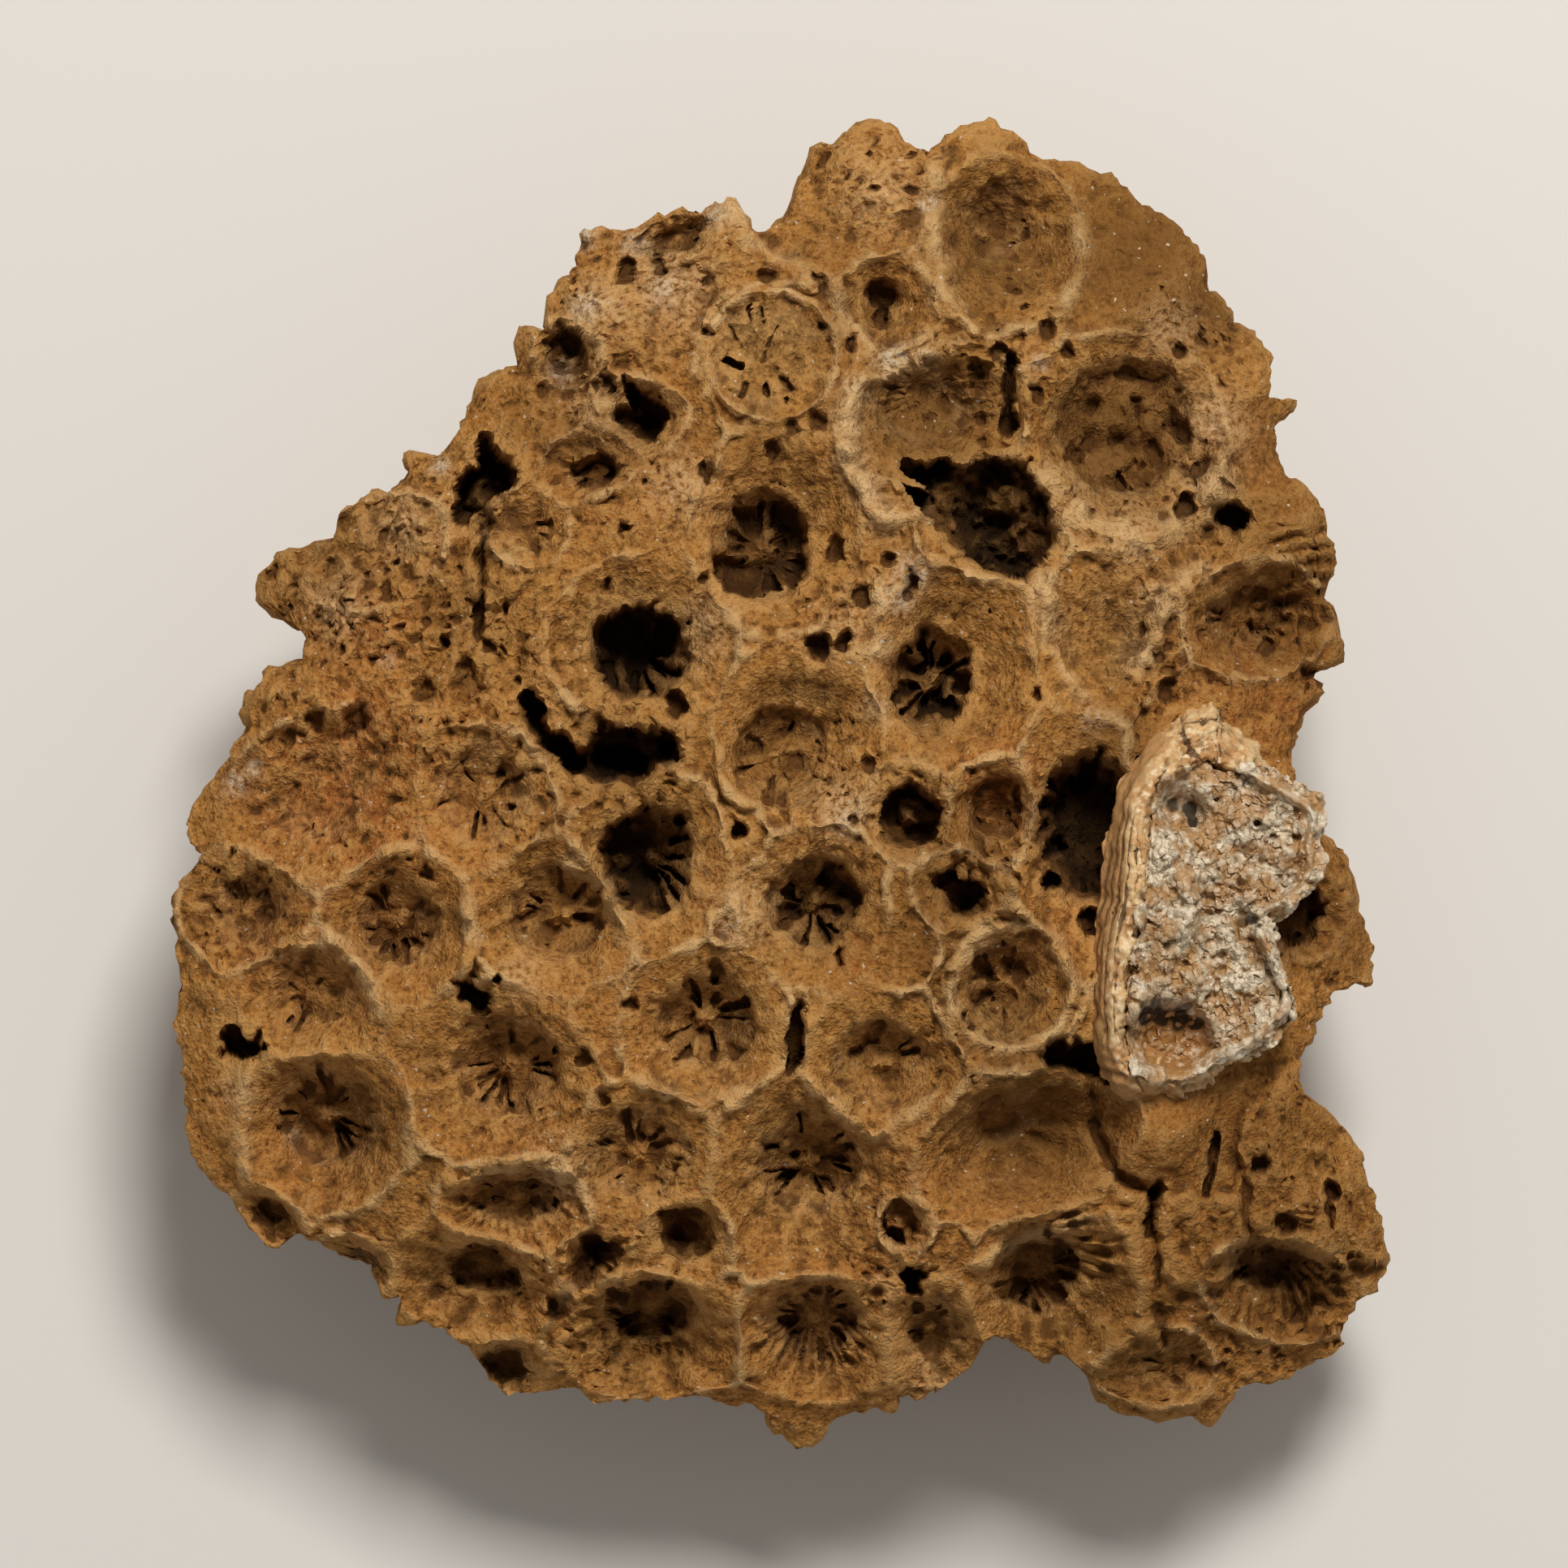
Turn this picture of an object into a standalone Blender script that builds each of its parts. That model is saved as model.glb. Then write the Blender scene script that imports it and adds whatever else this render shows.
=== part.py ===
"""A fossil colonial rugose coral, lying on its sawn base, with a broken horn coral lodged in its crown.

Shapes are worked out in millimetres and made in metres. +Z is up, +X is the right and +Y the far side
as one looks down on the crown, and the origin is on the base, under the middle of the colony.
"""

from collections import namedtuple

import bmesh
import bpy
import numpy as np

METRES_PER_MM = 0.001

# The colony as a whole
CROWN_HEIGHT = 46.0
CROWN_CURVE = 2.6
MEAN_RIM_DROP = 13.5
RIM_DROP_TO_RIGHT = 1.5
RIM_DROP_TO_NEAR = 5.0
RIM_ROUNDING = 1.6
FOOT_SHARE = 0.78
SAW_ALLOWANCE = 2.0

# The corallite tubes that show on the flank
FLANK_TUBES = 27
TUBE_BULGE = 2.2
GROWTH_RING_PITCH = 6.5
GROWTH_RING_DEPTH = 0.35

# The clearance between pieces that touch
SEAT_GAP = 0.35

# How the points of each sphere are shared out, and how many faces each piece keeps
COLONY_SHARES = (0.62, 0.27)
COLONY_FACES = 7200
HORN_SHARES = (0.55, 0.33)
HORN_FACES = 1050
CRUST_SHARES = (0.62, 0.08)
CRUST_FACES = 760

# The edge of the crown, anticlockwise from the right, as x and y
CROWN_EDGE = [
    (44.4, 1.1), (44.6, 3.6), (45.3, 6.9), (47.9, 8.4), (46.4, 9.7), (49.4, 11.3), (49.2, 14.0),
    (47.9, 17.6), (49.0, 19.6), (48.1, 21.9), (47.3, 24.6), (46.1, 26.9), (44.4, 27.1), (43.3, 30.1),
    (43.2, 31.9), (45.3, 33.9), (42.9, 33.9), (42.6, 38.1), (41.4, 39.7), (39.0, 40.6), (38.7, 42.4),
    (37.2, 44.6), (37.6, 46.7), (36.4, 48.1), (33.9, 49.9), (31.0, 51.9), (28.9, 53.6), (26.7, 54.5),
    (22.8, 55.4), (19.7, 57.4), (18.0, 59.0), (14.4, 57.4), (12.9, 55.4), (11.6, 55.6), (9.9, 57.9),
    (8.1, 59.0), (5.6, 57.9), (3.9, 55.6), (2.8, 53.6), (2.4, 56.9), (1.0, 51.5), (0.3, 49.7),
    (-1.5, 48.1), (-3.1, 49.2), (-4.4, 51.5), (-6.1, 51.6), (-7.4, 50.2), (-8.9, 51.1), (-14.7, 49.0),
    (-17.7, 49.1), (-18.3, 45.4), (-20.4, 43.3), (-21.0, 40.1), (-23.2, 40.1), (-23.2, 36.9),
    (-26.1, 35.4), (-27.4, 33.0), (-28.3, 31.1), (-30.1, 29.0), (-33.4, 29.3), (-32.9, 27.6),
    (-34.3, 25.7), (-36.1, 26.1), (-39.0, 24.0), (-39.7, 21.7), (-44.6, 20.4), (-46.4, 18.7),
    (-46.6, 16.7), (-45.4, 15.4), (-42.4, 14.0), (-41.4, 12.2), (-41.7, 10.8), (-45.4, 10.1),
    (-47.2, 8.3), (-46.9, 5.1), (-49.0, 2.6), (-51.1, -0.3), (-52.4, -3.1), (-52.3, -4.9),
    (-51.0, -6.0), (-53.3, -8.5), (-54.0, -10.3), (-53.1, -16.7), (-53.8, -21.0), (-53.1, -26.0),
    (-52.9, -31.0), (-51.9, -33.9), (-48.3, -37.4), (-47.0, -39.4), (-45.1, -41.1), (-43.1, -39.3),
    (-40.4, -41.1), (-36.5, -42.4), (-35.6, -45.3), (-34.0, -45.3), (-34.4, -48.1), (-31.9, -47.1),
    (-27.6, -49.9), (-26.3, -52.4), (-24.7, -54.0), (-19.0, -53.4), (-16.1, -54.6), (-10.4, -53.9),
    (-7.0, -54.1), (-4.7, -55.0), (-1.6, -55.1), (-1.1, -56.6), (0.6, -58.6), (2.6, -58.6),
    (4.7, -56.0), (8.1, -55.1), (9.6, -55.7), (10.1, -53.9), (13.1, -53.6), (15.4, -52.4),
    (17.6, -49.2), (18.6, -46.9), (20.4, -49.6), (23.1, -50.5), (25.1, -49.7), (27.0, -51.7),
    (27.6, -54.0), (30.3, -56.0), (33.1, -56.5), (36.7, -56.0), (38.1, -57.6), (39.6, -55.1),
    (40.3, -53.4), (43.1, -53.1), (46.7, -51.7), (49.6, -50.3), (49.9, -48.1), (51.7, -45.4),
    (53.6, -43.9), (53.9, -42.1), (52.6, -38.1), (51.4, -34.7), (51.1, -32.4), (48.9, -29.9),
    (45.3, -27.1), (44.7, -24.6), (46.4, -22.8), (47.6, -20.3), (48.1, -18.0), (49.9, -17.9),
    (52.1, -17.4), (51.7, -15.4), (52.4, -13.9), (51.0, -10.3), (49.7, -6.1), (47.4, -4.6),
    (45.3, -1.7),
]

# The calices. A cup is a bowl of some radius and depth, with a steeper pit in its floor. The floor's
# middle is given from the bowl's, squash is the bowl's width across over along, and turn is in degrees.
Cup = namedtuple("Cup", "x y radius depth floor_x floor_y floor_radius floor_depth squash turn")
CUPS = [
    # The far edge and the far right
    Cup(19.2, 47.9, 7.0, 4.5, -2.2, -1.0, 3.0, 1.6, 1.08, 0),
    Cup(-1.1, 37.6, 6.5, 0.9, 0.0, 0.0, 5.3, 1.3, 1.0, 0),
    Cup(8.9, 42.2, 4.2, 1.2, 0.0, 0.4, 2.3, 6.0, 0.9, 20),
    Cup(13.3, 32.4, 8.2, 3.4, -1.5, 0.5, 4.4, 0.8, 0.74, 0),
    Cup(29.9, 30.8, 9.0, 4.2, -0.4, 0.8, 5.6, 2.2, 1.02, 0),
    Cup(18.1, 23.4, 7.0, 3.0, 0.3, 0.2, 5.2, 9.5, 0.8, -20),
    Cup(41.7, 14.7, 6.4, 4.5, -1.0, 0.6, 3.4, 1.5, 0.85, 0),
    Cup(38.4, 23.4, 3.4, 1.2, 0.0, 0.0, 2.5, 5.5, 0.7, 0),
    Cup(27.8, 12.9, 6.8, 2.2, 0.0, 0.0, 4.0, 0.8, 1.0, 0),
    # The far left
    Cup(-12.4, 32.6, 3.8, 1.5, 0.3, 0.2, 2.8, 9.0, 0.85, -30),
    Cup(-17.2, 28.2, 4.4, 1.6, 0.6, -0.8, 2.2, 3.2, 0.7, 25),
    Cup(-22.6, 22.6, 3.4, 0.9, 0.0, 0.0, 2.4, 1.0, 1.0, 0),
    Cup(-19.0, 37.9, 3.0, 1.0, 0.0, 0.0, 2.0, 2.6, 1.0, 0),
    Cup(-9.7, 47.9, 4.4, 1.4, 0.2, 0.0, 2.6, 2.2, 0.5, 20),
    Cup(-35.5, 20.5, 6.5, 1.0, 0.0, 0.0, 3.0, 0.6, 0.7, 30),
    # The middle
    Cup(-0.7, 22.3, 7.4, 3.8, -1.3, -1.4, 4.5, 6.5, 1.12, 0),
    Cup(-12.9, 12.4, 7.8, 2.8, 0.1, -0.7, 4.2, 11.0, 1.0, 0),
    Cup(14.9, 10.4, 8.0, 4.2, -2.4, -1.3, 4.6, 6.5, 1.08, -8),
    Cup(1.4, 4.6, 6.9, 3.6, -1.7, -1.9, 4.2, 4.2, 1.08, 0),
    Cup(-11.9, -6.2, 6.6, 2.2, 0.0, -0.3, 4.2, 10.0, 1.2, 0),
    Cup(2.9, -10.6, 6.4, 2.6, -0.3, 0.4, 4.1, 6.0, 1.05, 0),
    Cup(11.0, -2.4, 3.9, 1.2, 0.0, -0.2, 2.6, 5.5, 1.05, 0),
    Cup(18.3, -2.4, 4.4, 2.2, 0.0, 0.3, 2.8, 3.4, 1.1, 0),
    Cup(15.6, -8.9, 4.0, 1.5, 0.3, 0.0, 2.7, 8.0, 0.95, -15),
    Cup(25.6, -4.6, 5.6, 2.0, 0.3, 0.0, 4.4, 9.5, 2.1, 0),
    # The left
    Cup(-26.3, -0.6, 5.9, 1.2, 0.2, 0.1, 4.5, 1.6, 1.0, 0),
    Cup(-40.4, -0.6, 9.2, 2.6, 0.0, 0.0, 5.0, 0.6, 0.78, 20),
    Cup(-33.9, -12.3, 6.4, 2.8, 0.0, 0.0, 3.8, 3.4, 1.0, 0),
    Cup(-19.8, -11.3, 6.8, 2.6, 0.0, 0.1, 4.3, 3.6, 0.94, 0),
    Cup(-26.9, -18.2, 2.2, 0.6, 0.0, 0.0, 1.5, 5.0, 1.0, 0),
    Cup(-47.7, -11.0, 5.8, 2.0, 0.9, 0.3, 3.2, 2.4, 0.9, 0),
    Cup(-41.5, -18.6, 6.7, 2.6, 0.0, 0.2, 3.8, 1.6, 0.9, 0),
    Cup(-47.8, -22.0, 3.0, 1.0, 0.4, -0.4, 2.0, 6.0, 0.8, -20),
    Cup(-24.9, -25.4, 8.0, 3.2, 0.6, 0.8, 4.9, 4.4, 0.95, 0),
    Cup(-7.0, -21.0, 7.0, 2.8, 0.2, 0.6, 4.5, 4.0, 0.95, 0),
    Cup(-40.6, -30.4, 8.1, 4.8, 0.4, 1.4, 5.0, 3.2, 0.92, 0),
    # The near edge
    Cup(8.6, -24.8, 6.7, 2.8, 0.0, 0.4, 4.2, 3.2, 1.0, 0),
    Cup(19.4, -17.6, 5.9, 2.6, 0.0, 0.3, 3.4, 3.2, 1.2, 15),
    Cup(1.0, -21.8, 3.9, 0.2, 0.0, 0.0, 3.3, 4.5, 0.2, 84),
    Cup(-12.7, -32.4, 6.2, 1.6, 0.0, 0.2, 4.5, 1.6, 1.0, 0),
    Cup(2.5, -34.8, 8.8, 4.4, -0.2, 2.2, 4.5, 4.0, 1.05, 0),
    Cup(-23.7, -36.6, 6.5, 2.6, 0.1, 0.8, 4.3, 2.4, 0.64, 0),
    Cup(-8.6, -39.7, 3.9, 1.0, 0.0, 0.2, 2.7, 7.5, 1.0, 0),
    Cup(21.6, -31.4, 10.2, 4.8, -2.8, 2.4, 4.2, 1.4, 0.62, 20),
    Cup(10.3, -38.1, 2.5, 0.8, 0.0, 0.0, 1.6, 1.8, 1.2, 0),
    Cup(-27.7, -43.9, 7.6, 3.6, 1.0, 1.6, 3.6, 3.4, 0.68, -12),
    Cup(-11.9, -48.8, 8.2, 5.0, 0.2, 2.6, 4.4, 4.5, 0.72, 0),
    Cup(2.8, -48.6, 7.2, 3.6, 0.0, 1.6, 4.4, 2.8, 0.84, 0),
    Cup(13.0, -48.4, 4.6, 2.4, 0.0, 0.8, 2.8, 2.2, 1.05, 0),
    Cup(23.9, -44.4, 7.8, 4.4, -1.6, 1.8, 4.4, 4.0, 0.92, 25),
    Cup(11.1, -42.9, 2.9, 0.8, 0.0, 0.0, 2.2, 6.0, 0.62, 0),
    Cup(-24.6, -51.6, 3.6, 2.0, 0.0, 0.6, 2.2, 2.0, 0.85, 0),
    Cup(-45.4, -38.1, 3.4, 2.4, 0.4, 0.6, 1.8, 1.4, 0.7, -30),
    Cup(-37.6, -42.2, 3.6, 2.6, 0.4, 0.6, 1.8, 1.4, 0.65, -25),
    # The near right
    Cup(44.8, -45.2, 8.4, 3.8, -1.4, 2.0, 4.6, 3.8, 0.74, 15),
    Cup(46.0, -11.4, 4.0, 1.6, 0.0, 0.0, 2.6, 4.6, 1.0, 0),
    Cup(33.2, -51.6, 5.2, 2.4, 1.4, 0.2, 3.0, 1.2, 0.7, 0),
]

# Walls that stand above the cups, and cracks: points, half width, and height or depth
Line = namedtuple("Line", "points half_width size")
RIDGES = [
    Line([(13.1, 38.3), (8.5, 37.2), (5.6, 34.0), (6.0, 29.0), (7.8, 24.7), (9.9, 23.3)], 1.0, 1.7),
    Line([(23.1, 26.9), (26.7, 22.6), (32.4, 21.5), (37.4, 25.1), (39.2, 29.7)], 1.6, 1.3),
    Line([(36.4, 19.7), (33.1, 16.1), (31.0, 9.7)], 1.1, 1.5),
    Line([(22.8, 17.6), (23.1, 12.6), (26.0, 8.3)], 0.9, 1.0),
    Line([(-27.8, -7.8), (-27.7, -16.4)], 0.8, 0.9),
    Line([(-19.0, -7.0), (-15.8, -8.9), (-13.6, -13.1)], 0.8, 0.9),
    Line([(-44.0, -14.2), (-38.6, -13.6), (-35.4, -19.9)], 0.8, 0.8),
    Line([(-47.6, -26.0), (-47.8, -34.6)], 0.8, 1.0),
    Line([(-32.9, -26.7), (-32.2, -32.4)], 0.9, 0.8),
    Line([(-29.0, -34.6), (-24.7, -33.4), (-19.4, -34.2)], 0.9, 1.5),
    Line([(-12.6, -25.3), (-7.6, -27.8), (-1.9, -26.0)], 0.8, 0.8),
    Line([(4.6, -28.1), (8.1, -30.6), (13.1, -27.4)], 0.8, 0.8),
    Line([(17.8, -13.1), (14.9, -16.7), (15.3, -21.0)], 0.9, 1.0),
    Line([(16.7, -42.1), (23.1, -39.4), (28.1, -38.1)], 0.9, 1.0),
    Line([(12.9, 54.7), (13.5, 47.6), (14.7, 42.2)], 1.3, 1.6),
    Line([(23.9, 53.3), (26.0, 48.3), (24.6, 41.9)], 1.2, 1.0),
    Line([(3.9, 44.0), (5.6, 41.1), (7.8, 38.6)], 0.8, 1.0),
    Line([(-4.4, 51.1), (-2.6, 47.6), (2.4, 44.4)], 1.1, 1.2),
    Line([(8.1, 17.6), (8.5, 11.9)], 0.9, 0.8),
]
CRACKS = [
    Line([(-22.6, 7.9), (-19.7, 3.6), (-14.7, 1.6), (-9.4, 2.6)], 1.5, 7.0),
    Line([(-25.9, 24.0), (-26.4, 19.0), (-26.7, 13.3)], 0.7, 2.6),
    Line([(-24.6, 29.4), (-26.2, 26.4), (-28.4, 22.8)], 1.9, 7.5),
    Line([(26.9, -26.4), (28.1, -31.0), (30.6, -34.6), (32.8, -36.4), (33.1, -42.4)], 0.8, 3.0),
    Line([(19.9, 37.6), (19.6, 31.5)], 0.8, 3.6),
    Line([(37.9, -31.0), (37.1, -34.6)], 0.7, 3.0),
    Line([(23.9, -23.4), (28.2, -24.6)], 1.6, 6.0),
]

# Swellings of the crown: x, y, radius, height
SWELLS = [
    (32.6, -31.0, 4.6, 3.4), (37.1, -39.6, 3.4, 2.6), (-38.3, 23.3, 4.5, 1.8), (-44.0, 8.3, 4.5, 1.5),
    (8.1, 54.5, 4.5, 3.0), (17.5, 56.0, 3.5, 2.0), (41.5, 36.0, 3.6, 2.4), (45.2, 23.2, 4.0, 3.0),
    (48.0, 12.4, 2.8, 2.2), (48.3, -9.6, 4.0, 1.5), (-16.5, 41.1, 4.5, 2.4), (-6.1, 47.6, 3.6, 1.8),
    (19.6, -8.3, 2.6, 1.8), (33.9, -53.4, 3.6, 2.0), (-30.0, 9.0, 7.0, 1.2), (31.5, 47.0, 6.0, -1.0),
]

# The horn coral: its edge as seen from above, anticlockwise from the right, and its heights
HORN_MIDDLE = (36.4, -10.3)
HORN_EDGE = [
    (42.6, -11.4), (45.3, -9.2), (47.1, -6.9), (45.9, -4.6), (47.1, -3.0), (46.0, -0.6), (43.6, 0.4),
    (42.3, 2.9), (40.3, 4.9), (38.7, 5.8), (38.1, 7.9), (35.6, 6.0), (32.4, 3.6), (30.3, -0.3),
    (28.9, -5.3), (28.3, -9.6), (27.4, -14.2), (27.1, -18.5), (27.6, -23.1), (29.2, -26.7),
    (30.8, -28.2), (33.5, -27.1), (36.7, -26.9), (40.3, -25.1), (42.6, -23.0), (44.7, -21.1),
    (45.1, -18.5), (43.9, -15.3),
]
HORN_BASE = 29.0
HORN_EDGE_HEIGHT = (38.5, 35.5)
HORN_RIM_HEIGHT = (43.0, 46.8)
HORN_WALL_WIDTH = (1.6, 4.4)
HORN_RECESS = 1.9
HORN_RIB_PITCH = 1.5
HORN_RIB_HEIGHT = 0.22
POCKETS = [(34.6, -1.7, 2.9, 1.8), (34.0, -21.4, 4.2, 2.2)]

# The crust of calcite crystals in the horn coral's broken face
CRUST_MIDDLE = (37.0, -9.5)
CRUST_EDGE = [
    (41.8, -10.6), (43.9, -9.0), (45.6, -6.8), (44.7, -4.6), (45.8, -3.0), (44.7, -1.6), (42.0, 0.4),
    (36.8, 1.4), (33.8, 0.4), (32.6, -4.9), (32.2, -10.3), (31.4, -15.3), (30.6, -19.6), (31.0, -23.0),
    (32.8, -25.0), (36.7, -24.8), (40.0, -23.1), (42.3, -21.0), (43.6, -18.4), (42.4, -15.0),
]
CRUST_THICKNESS = 1.1
CRUST_LUMPS = [
    (40.0, -3.2, 2.6, 1.9), (43.6, -5.6, 2.2, 1.7), (38.2, -7.4, 2.4, 1.3), (41.0, -9.0, 2.2, 1.5),
    (35.6, -8.4, 2.2, 1.2), (34.6, -12.6, 2.4, 1.2), (38.4, -13.4, 2.6, 1.6), (36.2, -16.8, 2.2, 1.5),
    (40.4, -17.6, 2.6, 1.7), (33.4, -17.2, 1.8, 1.0), (41.8, -20.6, 2.0, 1.2), (38.0, -20.6, 2.2, 1.0),
    (43.0, -1.8, 1.8, 1.2), (33.6, -6.2, 1.6, 0.9), (41.6, -13.6, 1.8, 1.0), (37.6, -0.4, 1.6, 0.8),
]


def smoothstep(low, high, value):
    """0 below low, 1 above high, and an S curve between."""
    share = np.clip((value - low) / (high - low), 0, 1)
    return share * share * (3 - 2 * share)


def edge_radius(edge, middle, angle):
    """How far a closed edge lies from its middle in each direction, with straight runs between points."""
    x, y = (np.array(edge) - middle).T
    return np.interp(angle, *sorted_turn(np.arctan2(y, x), np.hypot(x, y)), period=2 * np.pi)


def sorted_turn(angle, radius):
    order = np.argsort(angle)
    return angle[order], radius[order]


def smooth_edge_radius(edge, middle, angle, spread=0.35):
    """The same edge with its notches and teeth averaged out over an angle on each side."""
    offsets = np.linspace(-spread, spread, 15)
    return np.mean([edge_radius(edge, middle, angle + offset) for offset in offsets], axis=0)


def line_distance(x, y, points):
    """How far each place is from a line that runs through the points."""
    nearest = np.full(np.shape(x), np.inf)
    for (x0, y0), (x1, y1) in zip(points, points[1:]):
        run_x, run_y = x1 - x0, y1 - y0
        along = ((x - x0) * run_x + (y - y0) * run_y) / (run_x**2 + run_y**2)
        along = np.clip(along, 0, 1)
        nearest = np.minimum(nearest, np.hypot(x - x0 - along * run_x, y - y0 - along * run_y))
    return nearest


def dome(x, y):
    """The crown with no cups: a low dome that falls away most towards the near edge."""
    angle = np.arctan2(y, x)
    out = np.hypot(x, y) / smooth_edge_radius(CROWN_EDGE, (0, 0), angle)
    drop = MEAN_RIM_DROP + RIM_DROP_TO_RIGHT * np.cos(angle) - RIM_DROP_TO_NEAR * np.sin(angle)
    return CROWN_HEIGHT - drop * out**CROWN_CURVE


def cup_depth(cup, x, y):
    """How far one calice goes down below the dome."""
    turn = np.radians(cup.turn)
    dx, dy = x - cup.x, y - cup.y
    along = dx * np.cos(turn) + dy * np.sin(turn)
    across = (dy * np.cos(turn) - dx * np.sin(turn)) / cup.squash
    out = np.hypot(along, across) / cup.radius
    bowl = cup.depth * (1 - np.minimum(out, 1) ** 1.7)
    squash = np.clip(cup.squash, 0.6, 1.4) if cup.floor_radius > 3.5 else cup.squash
    dx, dy = dx - cup.floor_x, dy - cup.floor_y
    along = dx * np.cos(turn) + dy * np.sin(turn)
    across = (dy * np.cos(turn) - dx * np.sin(turn)) / squash
    pit = 1 - smoothstep(0.72, 1.04, np.hypot(along, across) / cup.floor_radius)
    return bowl + cup.floor_depth * pit


def crown_height(x, y):
    """The top of the colony: dome, swellings, cups, standing walls and cracks."""
    depth = np.max([cup_depth(cup, x, y) for cup in CUPS], axis=0)
    height = dome(x, y) - depth
    for swell_x, swell_y, radius, rise in SWELLS:
        height += rise * np.exp(-(np.hypot(x - swell_x, y - swell_y) / radius) ** 2)
    for ridge in RIDGES:
        height += ridge.size * np.exp(-((line_distance(x, y, ridge.points) / ridge.half_width) ** 2))
    for crack in CRACKS:
        near = line_distance(x, y, crack.points) / crack.half_width
        height -= crack.size * (1 - smoothstep(0.45, 1.1, near))
    return height


def flank_bulge(angle, down):
    """How far the flank stands out: a row of corallite tubes with growth rings on them."""
    rng = np.random.default_rng(7)
    joints = (np.arange(FLANK_TUBES) + rng.uniform(-0.28, 0.28, FLANK_TUBES)) * 2 * np.pi / FLANK_TUBES
    joints = np.append(joints, joints[0] + 2 * np.pi)
    leaning = angle + 0.05 * np.sin(3 * angle) * down
    turn = (leaning - joints[0]) % (2 * np.pi) + joints[0]
    tube = np.clip(np.searchsorted(joints, turn, side="right") - 1, 0, FLANK_TUBES - 1)
    share = (turn - joints[tube]) / (joints[tube + 1] - joints[tube])
    bulge = TUBE_BULGE * (np.sqrt(np.clip(4 * share * (1 - share), 0, 1)) - 0.6)
    height = CROWN_HEIGHT * (1 - down)
    rings = GROWTH_RING_DEPTH * np.sin(2 * np.pi * height / GROWTH_RING_PITCH + 2.1 * tube)
    return (bulge + rings) * smoothstep(0.0, 0.16, down)


def spread_over_stone(sphere, shares):
    """Where the points of a unit sphere go on a stone with a crown, a flank and a base.

    Gives each point's angle, its way out from the middle of the crown or base, and its way down the
    flank, both from 0 to 1. The shares are the parts of the points for the crown and the flank.
    """
    crown, flank = shares
    sunk = (1 - np.clip(sphere[:, 2], -1, 1)) / 2
    on_base = np.sqrt(np.clip((1 - sunk) / (1 - crown - flank), 0, 1))
    out = np.where(sunk < crown, np.sqrt(sunk / crown), np.where(sunk < crown + flank, 1, on_base))
    down = np.clip((sunk - crown) / flank, 0, 1)
    return np.arctan2(sphere[:, 1], sphere[:, 0]), out, down


def colony_points(sphere):
    """The colony's surface, from crown to base. The base lies below the saw's plane at this stage."""
    angle, out, down = spread_over_stone(sphere, COLONY_SHARES)
    crown_edge = edge_radius(CROWN_EDGE, (0, 0), angle)
    foot = FOOT_SHARE * smooth_edge_radius(CROWN_EDGE, (0, 0), angle)
    on_base = sphere[:, 2] < 1 - 2 * sum(COLONY_SHARES)
    radius = crown_edge + (foot - crown_edge) * down**1.25 + flank_bulge(angle, down)
    radius = np.where(on_base, foot, radius) * out
    x, y = radius * np.cos(angle), radius * np.sin(angle)
    rim_x, rim_y = crown_edge * np.cos(angle), crown_edge * np.sin(angle)
    on_crown = down <= 0
    top = crown_height(np.where(on_crown, x, rim_x), np.where(on_crown, y, rim_y))
    top -= RIM_ROUNDING * np.where(on_crown, out, 1) ** 14
    z = np.where(on_base, -SAW_ALLOWANCE, top * (1 - down) - SAW_ALLOWANCE * down)
    return np.stack([x, y, z], axis=1)


def horn_face(x, y):
    """The top of the horn coral: a ribbed wall on its left, and a broken face that the crust fills."""
    dx, dy = x - HORN_MIDDLE[0], y - HORN_MIDDLE[1]
    angle = np.arctan2(dy, dx)
    inside = edge_radius(HORN_EDGE, HORN_MIDDLE, angle) - np.hypot(dx, dy)
    left = smoothstep(-0.35, 0.75, -np.cos(angle))
    edge, rim, width = (
        right_value + (left_value - right_value) * left
        for right_value, left_value in (HORN_EDGE_HEIGHT, HORN_RIM_HEIGHT, HORN_WALL_WIDTH)
    )
    height = edge + (rim - edge) * np.sin(0.5 * np.pi * np.clip(inside / width, 0, 1))
    ribs = np.cos(2 * np.pi * inside / HORN_RIB_PITCH) * (inside < width)
    height += HORN_RIB_HEIGHT * left * ribs
    height -= HORN_RECESS * smoothstep(width + 0.2, width + 1.4, inside)
    for pocket_x, pocket_y, radius, depth in POCKETS:
        height -= depth * np.exp(-((np.hypot(x - pocket_x, y - pocket_y) / radius) ** 4))
    return height - 0.10 * np.clip(dx + 4, 0, None) * smoothstep(0, 3, inside)


def horn_points(sphere):
    """The horn coral's surface, with sides that draw in a little towards a flat underside."""
    angle, out, down = spread_over_stone(sphere, HORN_SHARES)
    edge = edge_radius(HORN_EDGE, HORN_MIDDLE, angle)
    narrow = 1 - 0.22 * down
    x = HORN_MIDDLE[0] + edge * out * narrow * np.cos(angle)
    y = HORN_MIDDLE[1] + edge * out * narrow * np.sin(angle)
    rim_x = HORN_MIDDLE[0] + edge * np.cos(angle)
    rim_y = HORN_MIDDLE[1] + edge * np.sin(angle)
    on_crown = down <= 0
    top = horn_face(np.where(on_crown, x, rim_x), np.where(on_crown, y, rim_y))
    return np.stack([x, y, top + (HORN_BASE - top) * down], axis=1)


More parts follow.
